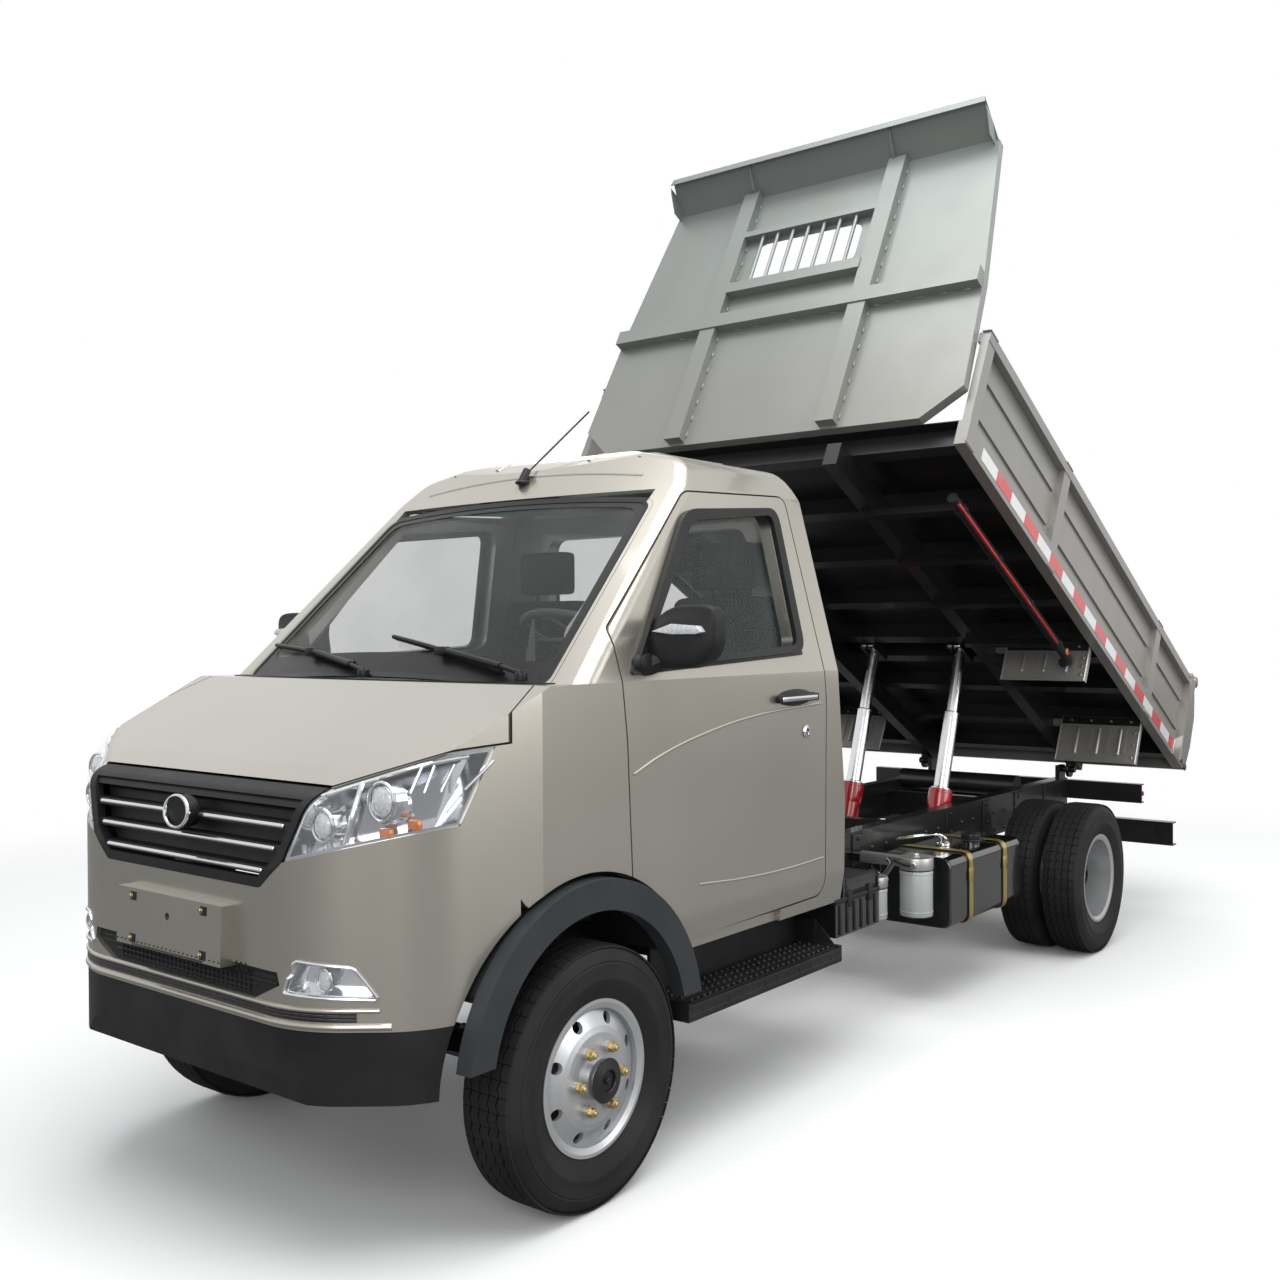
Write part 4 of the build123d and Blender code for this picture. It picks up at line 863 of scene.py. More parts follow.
class TRUCK_OT_glazing(bpy.types.Operator):
    """Black windscreen border, window surrounds and the mirror sails"""
    bl_idname = "truck.glazing"
    bl_label = "Glazing borders"

    def execute(self, context):
        border = band("border", self.screen_loop(0.630, -0.02, 0.557, 0.737, 0.045, 0.0012),
                      self.screen_loop(0.588, 0.075, 0.523, 0.705, 0.05, 0.0012), 0.001)
        done("windscreen_border", [border], "trim_black")
        seal = band("seal", self.screen_loop(0.640, -0.026, 0.566, 0.747, 0.05, 0.006),
                    self.screen_loop(0.617, -0.006, 0.546, 0.727, 0.04, 0.004), 0.004, -1.0)
        done("windscreen_seal", [seal], "trim_black")
        for side, tag in SIDES:
            self.side_window(side, tag)
        return {"FINISHED"}

    def screen_loop(self, foot_half, foot, head_half, head, radius, lift):
        """A round-cornered loop over the windscreen, from its foot's half width to its head's."""
        corners = [(-foot_half, foot), (foot_half, foot), (head_half, head), (-head_half, head)]
        return [on_screen(x, up, lift) for x, up in rounded(corners, radius, 14)]

    def side_window(self, side, tag):
        corners = [Vector(c) for c in ((0.178, 1.348), (0.52, 1.786), (1.0, 1.826), (1.022, 1.384))]
        centre = Vector((0.68, 1.585))
        loops = []
        for reach, radius, lift in ((0.012, 0.055, 0.003), (-0.030, 0.035, 0.001)):
            outline = rounded([c + (c - centre).normalized() * reach for c in corners], radius, 6)
            loops.append(self.on_door(side, outline, lift))
        seal = band("seal", *loops, 0.016, float(side))
        sail = plate("sail", self.on_door(side, ((0.16, 1.34), (0.318, 1.346), (0.318, 1.515), (0.3, 1.512)),
                                          -0.006), (side * 0.012, 0, 0), 0.003)
        rail = plate("rail", self.on_door(side, ((0.17, 1.334), (1.03, 1.372), (1.03, 1.392), (0.17, 1.352)),
                                          0.001), (side * 0.006, 0, 0), 0.002)
        done(f"window_surround_{tag}", [outward(seal, MERGE), sail, rail], "trim_black", f"door_{tag}")

    def on_door(self, side, outline, lift):
        return [spot(side * (side_x(z) + lift), y, z) for y, z in outline]


class TRUCK_OT_mirrors(bpy.types.Operator):
    """Door mirrors with their indicator strips, and the door handles"""
    bl_idname = "truck.mirrors"
    bl_label = "Mirrors and handles"

    def execute(self, context):
        centre = spot(0.808, 0.334, 1.432)
        glass = stretched(drum("mirror_glass", centre, 0.09, 0.004, "Y", 40), centre, (0.9, 1, 0.62))
        outline = ((0.735, 1.448), (0.80, 1.468), (0.885, 1.462), (0.897, 1.446), (0.88, 1.44), (0.80, 1.44))
        strip = plate("strip", [spot(x, 0.238, z) for x, z in outline], (0, 0.03, 0), 0.003)
        left = joined("door_mirror_left", [coated(self.housing(), "black_plastic"),
                                           coated(glass, "lamp_bowl"), coated(strip, "clear_lamp")])
        right = mirrored(left, "door_mirror_right")
        for piece, tag in ((left, "left"), (right, "right")):
            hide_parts(f"door_{tag}_fittings")
            shown(piece, "black_plastic", f"door_{tag}")
        self.handle()
        return {"FINISHED"}

    def housing(self):
        shell = cuboid("shell", spot(0.712, 0.246, 1.362), spot(0.905, 0.334, 1.504))
        front = spot(0, 0.25, 0).y
        with shaping(shell) as work:
            bpy.ops.mesh.subdivide(number_cuts=2)
            work.shift(lambda place: place.y < front and place.z > 1.49, (0, 0.03, -0.012))
            work.shift(lambda place: place.y < front and place.x > 0.89, (-0.014, 0.022, 0))
            work.shift(lambda place: place.x < 0.72 and place.z > 1.45, (0.01, 0, -0.035))
            work.shift(lambda place: place.x > 0.88 and place.z < 1.38, (-0.03, 0, 0.014))
            work.shift(lambda place: place.x < 0.72 and place.z < 1.41, (0.0, 0.0, -0.006))
        shell = with_modifier(shell, "SUBSURF", levels=2, render_levels=2)
        shell = stretched(shell, spot(0.806, 0.29, 1.432), (1.16, 1.12, 1.2))
        arm = pipe("arm", [spot(0.712, 0.222, 1.352), spot(0.735, 0.25, 1.362), spot(0.77, 0.285, 1.385)],
                   0.026)
        foot = ball("foot", spot(0.722, 0.235, 1.362), (0.026, 0.06, 0.032))
        return joined("shell", [shell, arm, foot])

    def handle(self):
        pull = cuboid("pull", spot(0.7495, 0.87, 1.232), spot(0.7525, 1.074, 1.246), 0.0012)
        both_sides("handle_strip", [pull], "silver_trim", "door_{}")
        grip = [ball("recess", spot(0.731, 0.972, 1.241), (0.006, 0.105, 0.026), 32),
                cuboid("base", spot(0.729, 0.862, 1.228), spot(0.742, 0.88, 1.25), 0.004, 3),
                cuboid("base", spot(0.729, 1.06, 1.232), spot(0.742, 1.08, 1.254), 0.004, 3),
                cuboid("grip", spot(0.740, 0.855, 1.228), spot(0.750, 1.088, 1.252), 0.004, 3)]
        both_sides("handle_grip", grip, "trim_black", "door_{}")
        lock = drum("lock", spot(0.7312, 1.038, 1.132), 0.014, 0.006, "X", 28, edge=0.0015,
                    test=lambda place: place.x > 0.733)
        lock = sunk(lock, lambda normal: normal.x > 0.9, 0.004, 0.0015)
        slot = cuboid("slot", spot(0.7335, 1.0365, 1.126), spot(0.7348, 1.0395, 1.138))
        both_sides("door_lock", [lock, slot], "silver_trim", "door_{}")


class TRUCK_OT_wipers(bpy.types.Operator):
    """Wiper arms and blades resting on the windscreen"""
    bl_idname = "truck.wipers"
    bl_label = "Wipers"

    def execute(self, context):
        parts = self.wiper(spot(-0.02, -0.1, 1.331), -0.34, -0.60, -0.10)
        parts += self.wiper(spot(0.56, -0.074, 1.331), 0.23, -0.02, 0.47)
        piece = joined("wiper_set", parts)
        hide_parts("wipers")
        done("wiper_set", [piece], "trim_black")
        return {"FINISHED"}

    def wiper(self, foot, mid_x, tip_x, heel_x):
        """Arm from its foot to the blade's middle, and the blade from heel to tip."""
        mid = on_screen(mid_x, 0.068, 0.026)
        above = Vector((0, 0, 0.012))
        heel, tip = on_screen(heel_x, 0.02, 0.012), on_screen(tip_x, 0.128, 0.012)
        spine = [heel.lerp(tip, t) + Vector((0, -0.004, 0.006 * math.sin(math.pi * t)))
                 for t in steps(0.0, 1.0, 6)]
        rubber = [on_screen(x, up, 0.004) for x, up in zip(steps(heel_x, tip_x, 6), steps(0.02, 0.128, 6))]
        return [drum("cap", foot + Vector((0, 0, 0.004)), 0.017, 0.022, "Z", 20, edge=0.003),
                bar("arm", [foot + above, foot.lerp(mid, 0.3) + above, mid], 0.0065, 2),
                bar("rod", [foot.lerp(mid, 0.25) + above, mid], 0.009, 2),
                pipe("blade", spine, 0.0065, 2),
                pipe("rubber", rubber, 0.0045, 1),
                cuboid("clip", mid - Vector((0.02, 0.012, 0.014)), mid + Vector((0.02, 0.012, 0.008)), 0.004)]


class TRUCK_OT_nose(bpy.types.Operator):
    """Grille strips, badge ring, lamp insides, fog trims, lower mesh, bumper lips and plate fixings"""
    bl_idname = "truck.nose"
    bl_label = "Nose trim"

    def execute(self, context):
        self.grille()
        self.lamps()
        self.fogs()
        self.mesh()
        bolts = [bolt(from_front(x, z, inward=-0.001), 0.0052, "Y", -1.0) for x, z in PLATE_BOLTS]
        done("plate_bolts", bolts, "bolt_gold")
        self.lips()
        clips = [cuboid("clip", from_front(x, z) + Vector((-0.004, -0.0012, -0.011)),
                        from_front(x, z) + Vector((0.022, 0.001, 0.011)), 0.0006, 1) for x, z in PLATE_BOLTS]
        done("plate_clips", clips, "trim_black")
        return {"FINISHED"}

    def grille(self):
        strips = []
        for z, low, high in ((1.012, -0.385, -0.06), (1.012, 0.06, 0.385), (0.96, -0.36, 0.36),
                             (0.908, -0.325, 0.325)):
            flat = [from_front(x, z, 0.002) for x in steps(low, high, 15)]
            strips.append(bar("strip", flat, 0.0056))
            strips += [ball("end", flat[number], (0.0055, 0.0055, 0.0055), 10) for number in (0, -1)]
        done("grille_strips", strips, "silver_trim")
        badge = stretched(ring("ring", (0, 0, 0), 0.049, 0.0055, "Y", 56), Vector((0, 0, 0)), (1, 1, 0.78))
        lean = Matrix.Rotation(math.radians(-6), 4, "X")
        done("badge", [moved(badge, Matrix.Translation(spot(0, -0.6995, 1.0176)) @ lean)], "silver_trim")

    def lips(self):
        """Pressed lips over the bumper's foot and the dark slot between them."""
        lips = [bar("lip", [from_front(x, z, -0.001) for x in steps(-half, half, 41)], thick)
                for z, half, thick in ((0.608, 0.60, 0.006), (0.572, 0.62, 0.008))]
        done("bumper_lips", lips, "cab_paint")
        slot = [bar("slot", [from_front(x, z, -0.002) for x in steps(-0.56, 0.56, 41)], 0.0046, 2)
                for z in (0.586, 0.594, 0.602)]
        done("bumper_slot", slot, "trim_black")

    def lamps(self):
        """Projector with its rings, a round reflector beside it, a divider and the turn lamp."""
        bright, clear, amber = [], [], []
        for x, z, radius, depth in ((0.598, 1.072, 0.043, 0.012), (0.485, 1.018, 0.036, 0.02)):
            front = from_front(x, z, inward=depth)
            bright += [ring("ring", front, radius, 0.0045, "Y", 40, 8),
                       drum("tube", front + Vector((0, 0.02, 0)), radius * 0.98, 0.04, "Y", 40, radius * 0.8)]
            eye = radius * 0.82
            clear.append(ball("eye", front + Vector((0, 0.004, 0)), (eye, 0.014, eye), 28))
        divider = ((0.543, 1.112), (0.548, 1.05), (0.533, 0.978))
        ridge = ((0.47, 1.082), (0.56, 1.117), (0.66, 1.152), (0.70, 1.165))
        for line, inward, thick in ((divider, 0.014, 0.007), (ridge, 0.016, 0.005)):
            bright.append(pipe("ridge", [from_front(x, z, inward=inward) for x, z in line], thick))
        for x in steps(0.655, 0.71, 4):
            ends = [from_front(x + lean, z, inward=0.014) for lean, z in ((-0.012, 1.09), (0.0, 1.15))]
            bright.append(bar("fin", ends, 0.0045, 2))
        for x in steps(0.445, 0.53, 4):
            bright.append(bar("fin", [from_front(x, z, inward=0.016) for z in (0.955, 0.975)], 0.005, 2))
        half = Vector((0.018, 0.008, 0.011))
        for x, z in ((0.60, 1.0), (0.645, 1.018)):
            front = from_front(x, z, inward=0.022)
            amber.append(cuboid("turn", front - half, front + half, 0.004))
        both_sides("lamp_rings", bright, "silver_trim")
        both_sides("lamp_eyes", clear, "clear_lamp")
        both_sides("turn_lamps", amber, "amber_lamp")

    def fogs(self):
        outline = rounded([(0.402, 0.64), (0.6, 0.632), (0.556, 0.704), (0.436, 0.716)], 0.012, 5)
        loop = [from_front(x, z, 0.001) for x, z in outline]
        front = from_front(0.492, 0.673, inward=0.012)
        both_sides("fog_trim", [bar("trim", loop + loop[:1], 0.0045, 2),
                                ring("ring", front, 0.026, 0.004, "Y", 32, 8)], "silver_trim")
        eye = ball("eye", front + Vector((0, 0.004, 0)), (0.023, 0.009, 0.023))
        both_sides("fog_eye", [eye], "clear_lamp")

    def mesh(self):
        wires = []
        for z, half in ((0.628, 0.27), (0.641, 0.30), (0.654, 0.372), (0.667, 0.372), (0.68, 0.372)):
            wires.append(bar("wire", [from_front(x, z, 0.001) for x in steps(-half, half, 11)], 0.0022, 1))
        for x in steps(-0.27, 0.27, 31):
            wires.append(bar("wire", [from_front(x, z, 0.002) for z in (0.622, 0.655, 0.688)], 0.0018, 1))
        done("lower_mesh", wires, "trim_black")


class TRUCK_OT_cab_lines(bpy.types.Operator):
    """Pressed lines of the doors, roof and rear wall, cowl slots and the antenna's foot"""
    bl_idname = "truck.cab_lines"
    bl_label = "Pressed lines"

    def execute(self, context):
        waist = ((0.17, 1.075), (0.3, 1.118), (0.5, 1.162), (0.75, 1.196), (1.13, 1.216))
        skirt = ((0.46, 0.742), (0.7, 0.724), (0.95, 0.718), (1.14, 0.722))
        beads = [pipe("bead", [from_side("door_left", y, z, -thick * 0.55) for y, z in line], thick)
                 for line, thick in ((waist, 0.0055), (skirt, 0.005))]
        both_sides("door_line", beads, "cab_paint", "door_{}", 60)
        roof = [pipe("bead", [from_above("cab_roof", x, y, -0.004) for y in steps(0.62, 1.06, 7)], 0.009)
                for x in (-0.40, -0.20, 0.20, 0.40)]
        front = [from_above("cab_roof", x, 0.56, -0.003) for x in steps(-0.46, 0.46, 9)]
        done("roof_beads", roof + [pipe("bead", front, 0.007)], "cab_paint", angle=60)
        back = [bar("bead", [touch("cab_rear_wall", spot(x, 3.0, z), (0, -1, 0), -0.004)
                             for z in (0.72, 0.95, 1.28)], 0.01) for x in steps(-0.44, 0.44, 5)]
        done("rear_wall_beads", back, "cab_paint", angle=60)
        tops = [from_above("cowl", side * x, -0.02) for x in steps(0.16, 0.5, 14) for side in (-1, 1)]
        slots = [cuboid("slot", top + Vector((-0.004, -0.03, -0.001)), top + Vector((0.004, 0.02, 0.0012)),
                        0.0005, 1) for top in tops]
        done("cowl_slots", slots, "trim_black")
        foot = from_above("cab_roof", 0.0, 0.534)
        done("antenna_foot", [ball("base", foot + Vector((0, 0, 0.004)), (0.024, 0.03, 0.011)),
                              ring("spring", foot + Vector((0, 0.01, 0.02)), 0.009, 0.003, "Z", 24, 8)],
             "trim_black")
        return {"FINISHED"}


class TRUCK_OT_seats(bpy.types.Operator):
    """Padded cushions, backs and head rests with their piping"""
    bl_idname = "truck.seats"
    bl_label = "Seats"

    def execute(self, context):
        parts, seams = [], []
        for x in (SEAT_X, -SEAT_X):
            parts += [self.pad((x, 0.866, 0.945), (0.40, 0.425, 0.104), 0.0, 0.014),
                      self.pad((x, 1.078, 1.28), (0.385, 0.098, 0.535), -3.5, 0.012),
                      self.pad((x, 1.077, 1.661), (0.214, 0.07, 0.148), 0.0, 0.006)]
            parts += [bar("post", [spot(x + post, 1.083, 1.53), spot(x + post, 1.079, 1.6)], 0.006)
                      for post in (-0.05, 0.05)]
            for edge in (-0.115, 0.115):
                cushion = [spot(x + edge, y, 0.9985) for y in steps(0.68, 1.0, 5)]
                back = [spot(x + edge * 0.95, 1.024 + (z - 1.05) * 0.06, z) for z in steps(1.06, 1.5, 5)]
                seams += [pipe("seam", points, 0.0028) for points in (cushion, back)]
        seats = joined("padded_seats", parts)
        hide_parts("seats")
        done("padded_seats", [seats], "seat_fabric", angle=50)
        done("seat_piping", seams, "trim_black")
        return {"FINISHED"}

    def pad(self, centre, size, lean, crown):
        """A block cut finely, its big faces crowned and its edges drawn in, then smoothed."""
        half = Vector(size) / 2
        pad = cuboid("pad", -half, half)
        with shaping(pad):
            bpy.ops.mesh.subdivide(number_cuts=5)
        thin = min(range(3), key=lambda axis: size[axis])
        wide = [axis for axis in range(3) if axis != thin]
        for vertex in pad.data.vertices:
            u, v = (vertex.co[axis] / half[axis] for axis in wide)
            bolster = 0.35 * abs(vertex.co.x / half.x) ** 3
            sign = 1 if vertex.co[thin] > 0 else -1
            vertex.co[thin] += sign * crown * ((1 - u ** 2) * (1 - v ** 2) + bolster - 1.0) * 0.8
            for axis in wide:
                vertex.co[axis] *= 1 - 0.03 * (vertex.co[thin] / half[thin]) ** 2
        pad.data.update()
        pad = with_modifier(pad, "SUBSURF", levels=2, render_levels=2)
        pad = stretched(pad, Vector((0, 0, 0)), (1.05, 1.05, 1.05))
        return moved(pad, Matrix.Translation(spot(*centre)) @ Matrix.Rotation(math.radians(lean), 4, "X"))


class TRUCK_OT_cabin(bpy.types.Operator):
    """Instrument hood, vents and the gear lever"""
    bl_idname = "truck.cabin"
    bl_label = "Cabin"

    def execute(self, context):
        hood = cuboid("hood", spot(0.2, 0.13, 1.318), spot(0.5, 0.315, 1.362), 0.018, 4)
        parts = [sunk(hood, lambda normal: normal.y > 0.9, 0.012, 0.02)]
        for x in (-0.52, -0.08, 0.08, 0.57):
            parts.append(ring("vent", spot(x, 0.334, 1.24), 0.034, 0.005, "Y", 28, 8))
            parts += [cuboid("blade", spot(x - 0.031, 0.326, z), spot(x + 0.031, 0.338, z + 0.003), 0.0008, 1)
                      for z in steps(1.222, 1.256, 4)]
        parts += [pipe("lever", [spot(0.0, 0.56, 0.83), spot(0.0, 0.55, 0.98), spot(0.0, 0.57, 1.1)], 0.009),
                  ball("knob", spot(0.0, 0.572, 1.12), (0.024, 0.026, 0.03), 20),
                  drum("boot", spot(0.0, 0.56, 0.86), 0.06, 0.07, "Z", 24, 0.022, edge=0.004)]
        done("dash_fittings", parts, "cabin_plastic")
        return {"FINISHED"}


# Chassis


class TRUCK_OT_side_gear(bpy.types.Operator):
    """Tank straps and cap, filters, battery lid, steps and their fixings"""
    bl_idname = "truck.side_gear"
    bl_label = "Side gear"

    def execute(self, context):
        self.tank()
        self.sender()
        self.filters()
        self.battery()
        self.step()
        return {"FINISHED"}

    def round_tank(self, half_width, half_height, y, straight, turn):
        """A round-cornered loop round the tank's middle line."""
        corners = [(-half_width, -half_height), (half_width, -half_height), (half_width, half_height),
                   (-half_width, half_height)]
        return [spot(TANK_X + x, y, TANK_Z + z) for x, z in rounded(corners, 0.04, straight, turn)]

    def tank(self):
        straps = []
        for y in (2.28, 2.61):
            loops = [self.round_tank(0.1545, 0.1385, edge, 6, 6) for edge in (y - 0.017, y + 0.017)]
            straps += [outward(band("strap", *loops, 0.0018), MERGE), bolt(spot(0.60, y, 0.5835), 0.009),
                       cuboid("buckle", spot(0.7245, y - 0.02, 0.47), spot(0.7285, y + 0.02, 0.52), 0.001)]
        done("tank_straps", straps, "strap_yellow")
        cap = drum("cap", spot(0.64, 2.47, 0.612), 0.039, 0.026, "Z", 18, edge=0.004)
        cap = sunk(cap, lambda normal: normal.z > 0.9, 0.008, 0.004)
        grip = cuboid("grip", spot(0.608, 2.463, 0.62), spot(0.672, 2.477, 0.632), 0.003)
        done("tank_cap", [cap, grip, ring("neck", spot(0.64, 2.47, 0.597), 0.037, 0.005, "Z", 32, 8)],
             "trim_black")
        seams = []
        for y in (2.108, 2.772):
            points = self.round_tank(0.146, 0.13, y, 5, 5)
            seams.append(bar("seam", points + points[:1], 0.004, 2))
        done("tank_seams", seams, "tank_black")

    def sender(self):
        """Fuel gauge's flange with its screws, and the two lines that leave it."""
        middle = spot(0.56, 2.385, 0.582)
        parts = [drum("sender", middle, 0.031, 0.008, "Z", 28, edge=0.0015)]
        for angle in steps(0.0, math.tau, 6)[:-1]:
            place = middle + Vector((0.023 * math.cos(angle), 0.023 * math.sin(angle), 0.004))
            parts.append(bolt(place, 0.004, height=0.004))
        for shift in (-0.01, 0.01):
            route = [spot(0.56 + shift, 2.385, 0.586), spot(0.56 + shift, 2.38, 0.61),
                     spot(0.50, 2.34 + shift, 0.618), spot(0.40, 2.30 + shift, 0.6)]
            parts.append(pipe("line", route, 0.0045))
        done("tank_sender", parts, "silver_trim")

    def filters(self):
        cans, heads = [], []
        for x, y, low, high, radius, top in ((0.66, 1.6, 0.436, 0.548, 0.051, 0.5845),
                                             (0.65, 1.96, 0.381, 0.556, 0.061, 0.6)):
            middle = (high + top) / 2
            cans.append(drum("can", spot(x, y, (low + high) / 2), radius, high - low, "Z", 40, edge=0.007,
                             segments=3))
            cans += [ring("rib", spot(x, y, z), radius - 0.0005, 0.0022, "Z", 40, 6)
                     for z in (low + 0.02, high - 0.012)]
            heads.append(drum("head", spot(x, y, middle + 0.001), radius + 0.0022, top - high + 0.002,
                              "Z", 40, edge=0.004))
            heads.append(bolt(spot(x, y, top + 0.002), 0.012, height=0.012))
            heads += [drum("port", spot(x + 0.02, y + side * (radius - 0.004), middle), 0.012, 0.026, "Y", 16,
                           edge=0.002, segments=1) for side in (-1, 1)]
            heads.append(cuboid("arm", spot(0.42, y - 0.014, high + 0.003), spot(x, y + 0.014, top), 0.003))
        done("filter_cans", cans, "filter_grey")
        done("filter_heads", heads, "alloy")
        routes = (((0.67, 1.652, 0.567), (0.66, 1.74, 0.60), (0.60, 1.86, 0.6), (0.655, 1.90, 0.578)),
                  ((0.67, 1.55, 0.567), (0.62, 1.50, 0.6), (0.5, 1.5, 0.6), (0.40, 1.52, 0.6)))
        done("filter_hoses", [pipe("hose", [spot(*point) for point in route], 0.009) for route in routes],
             "trim_black")

    def battery(self):
        raised = cuboid("raised", spot(0.48, 1.296, 0.56), spot(0.7175, 1.542, 0.6235), 0.012, 3)
        raised = sunk(raised, lambda normal: normal.x > 0.9 or normal.z > 0.9, 0.014, -0.0025)
        parts = [cuboid("lid", spot(0.466, 1.238, 0.548), spot(0.720, 1.544, 0.566), 0.004), raised]
        parts += [cuboid("rib", spot(0.714, y - 0.006, 0.446), spot(0.7205, y + 0.006, 0.545), 0.002)
                  for y in steps(1.27, 1.51, 6)]
        parts += [cuboid("catch", spot(0.716, y - 0.014, 0.53), spot(0.7235, y + 0.014, 0.585), 0.002)
                  for y in (1.33, 1.47)]
        done("battery_lid", parts, "black_plastic")

    def step(self):
        parts = [drum("stud", spot(x, y, 0.4235), 0.006, 0.006, "Z", 8, 0.0035)
                 for y in steps(0.44, 1.19, 26) for x in (0.61, 0.645, 0.68, 0.715)]
        parts += [cuboid("rail", spot(0.738, 0.40, z), spot(0.7435, 1.228, z + 0.012), 0.0015, 1)
                  for z in (0.378, 0.406)]
        parts += [cuboid("rib", spot(0.739, y - 0.004, 0.389), spot(0.7432, y + 0.004, 0.407), 0.001, 1)
                  for y in steps(0.46, 1.17, 12)]
        outline = ((0.565, 0.375), (0.735, 0.375), (0.735, 0.40), (0.60, 0.54), (0.565, 0.54))
        parts.append(plate("bracket", [spot(x, 1.2365, z) for x, z in outline], (0, 0.004, 0), 0.001, 1))
        both_sides("step_tread", parts, "black_plastic")


class TRUCK_OT_lift(bpy.types.Operator):
    """Glands, collars, ports and foot welds of the lift cylinders"""
    bl_idname = "truck.lift"
    bl_label = "Lift cylinders"

    def execute(self, context):
        foot = PIVOT["barrels_pivot"]
        eye = BED @ Vector((0, -LUG_ALONG, LUG_UP))
        lean = math.atan2(eye.y - foot.y, eye.z - foot.z)
        place = Matrix.Translation((CYLINDER_X, foot.y, foot.z)) @ Matrix.Rotation(-lean, 4, "X")
        collar = [self.sleeve(((0.0475, 0.338), (0.0545, 0.372), (0.0545, 0.416), (0.051, 0.42),
                               (0.0505, 0.36))),
                  drum("port", (0.0565, 0, 0.10), 0.014, 0.02, "X", 20, edge=0.002),
                  ring("weld", (0, 0, 0.045), 0.047, 0.004, "Z", 40, 8)]
        gland = self.sleeve(((0.0348, 0.431), (0.0348, 0.4445), (0.038, 0.4445), (0.046, 0.440),
                             (0.046, 0.431)))
        top = self.sleeve(((0.0278, 0.799), (0.0278, 0.805), (0.031, 0.805), (0.0345, 0.801),
                           (0.0345, 0.799)))
        for name, parts, finish, body in (("barrel_collar", collar, "cylinder_red", "cylinder_barrels"),
                                          ("barrel_gland", [gland], "silver_trim", "cylinder_barrels"),
                                          ("stage_gland", [top], "alloy", "cylinder_stages")):
            both_sides(name, [moved(joined(name, parts), place)], finish, body)
        return {"FINISHED"}

    def sleeve(self, outline):
        """A closed outline of (radius, height) turned about Z."""
        return turned("sleeve", [Vector((radius, 0, height)) for radius, height in outline], (0, 0, 1), 40)


class TRUCK_OT_rear(bpy.types.Operator):
    """Tail lamp lenses, side markers and the fixings of the rear beams"""
    bl_idname = "truck.rear"
    bl_label = "Rear lamps"

    def execute(self, context):
        for name, finish, x in (("tail_red", "red_lamp", 0.563), ("tail_turn", "amber_lamp", 0.622),
                                ("tail_back", "clear_lamp", 0.681)):
            wide = 0.056 if name == "tail_back" else 0.057
            lens = cuboid(name, spot(x, 4.338, 0.567), spot(x + wide, 4.35, 0.641), 0.004, 3)
            both_sides(name, [sunk(lens, lambda normal: normal.y > 0.9, 0.006, 0.002)], finish)
        bolts = [bolt(spot(x, 4.2965, 0.604), 0.01, "Y") for x in (0.06, 0.2, 0.4, 0.52)]
        bolts += [bolt(spot(x, 4.5065, 0.38), 0.01, "Y") for x in (0.12, 0.33, 0.6, 0.78)]
        both_sides("beam_bolts", bolts, "bolt_gold")
        marker = drum("side_marker", spot(0.7515, 4.312, 0.604), 0.012, 0.008, "X", 24, edge=0.002)
        both_sides("side_marker", [marker], "red_lamp")
        return {"FINISHED"}


class TRUCK_OT_chassis_bolts(bpy.types.Operator):
    """Rivets along the rails and the plates that tie the subframe to them"""
    bl_idname = "truck.chassis_bolts"
    bl_label = "Chassis fixings"

    def execute(self, context):
        rivets = [ball("rivet", spot(0.3705, y, z), (0.005, 0.009, 0.009), 10)
                  for y in steps(1.30, 4.18, 25) for z in (0.505, 0.585)]
        both_sides("rail_rivets", rivets, "frame_black", angle=60)
        ties = []
        for y in (1.65, 2.02, 2.86, 3.25, 3.62, 4.0):
            ties.append(cuboid("tie", spot(0.369, y - 0.045, 0.53), spot(0.376, y + 0.045, 0.655), 0.002, 1))
            ties += [bolt(spot(0.376, y, z), 0.009, "X") for z in (0.555, 0.635)]
        both_sides("frame_ties", ties, "frame_black")
        return {"FINISHED"}


# Load bed, drawn flat


class TRUCK_OT_bed_tape(bpy.types.Operator):
    """Red and white marking tape along the bed's lower rails"""
    bl_idname = "truck.bed_tape"
    bl_label = "Marking tape"

    def execute(self, context):
        size = context.scene.truck_bed
        blocks = {"tape_red": [], "tape_white": []}
        front, back, foot = -2.64, 0.12, 0.122
        for number in range(int((back - front) / size.tape_length)):
            y = front + number * size.tape_length
            for side, tag in SIDES:
                strip = cuboid("strip", (side * (BED_SIDE + 0.0013), y + 0.001, foot),
                               (side * (BED_SIDE + 0.0025), y + size.tape_length - 0.001,
                                foot + size.tape_width), 0.0004, 1)
                blocks["tape_red" if number % 2 else "tape_white"].append(strip)
        for tint, strips in blocks.items():
            done(f"bed_{tint}", [moved(joined(tint, strips), BED)], tint, "bed")
        return {"FINISHED"}


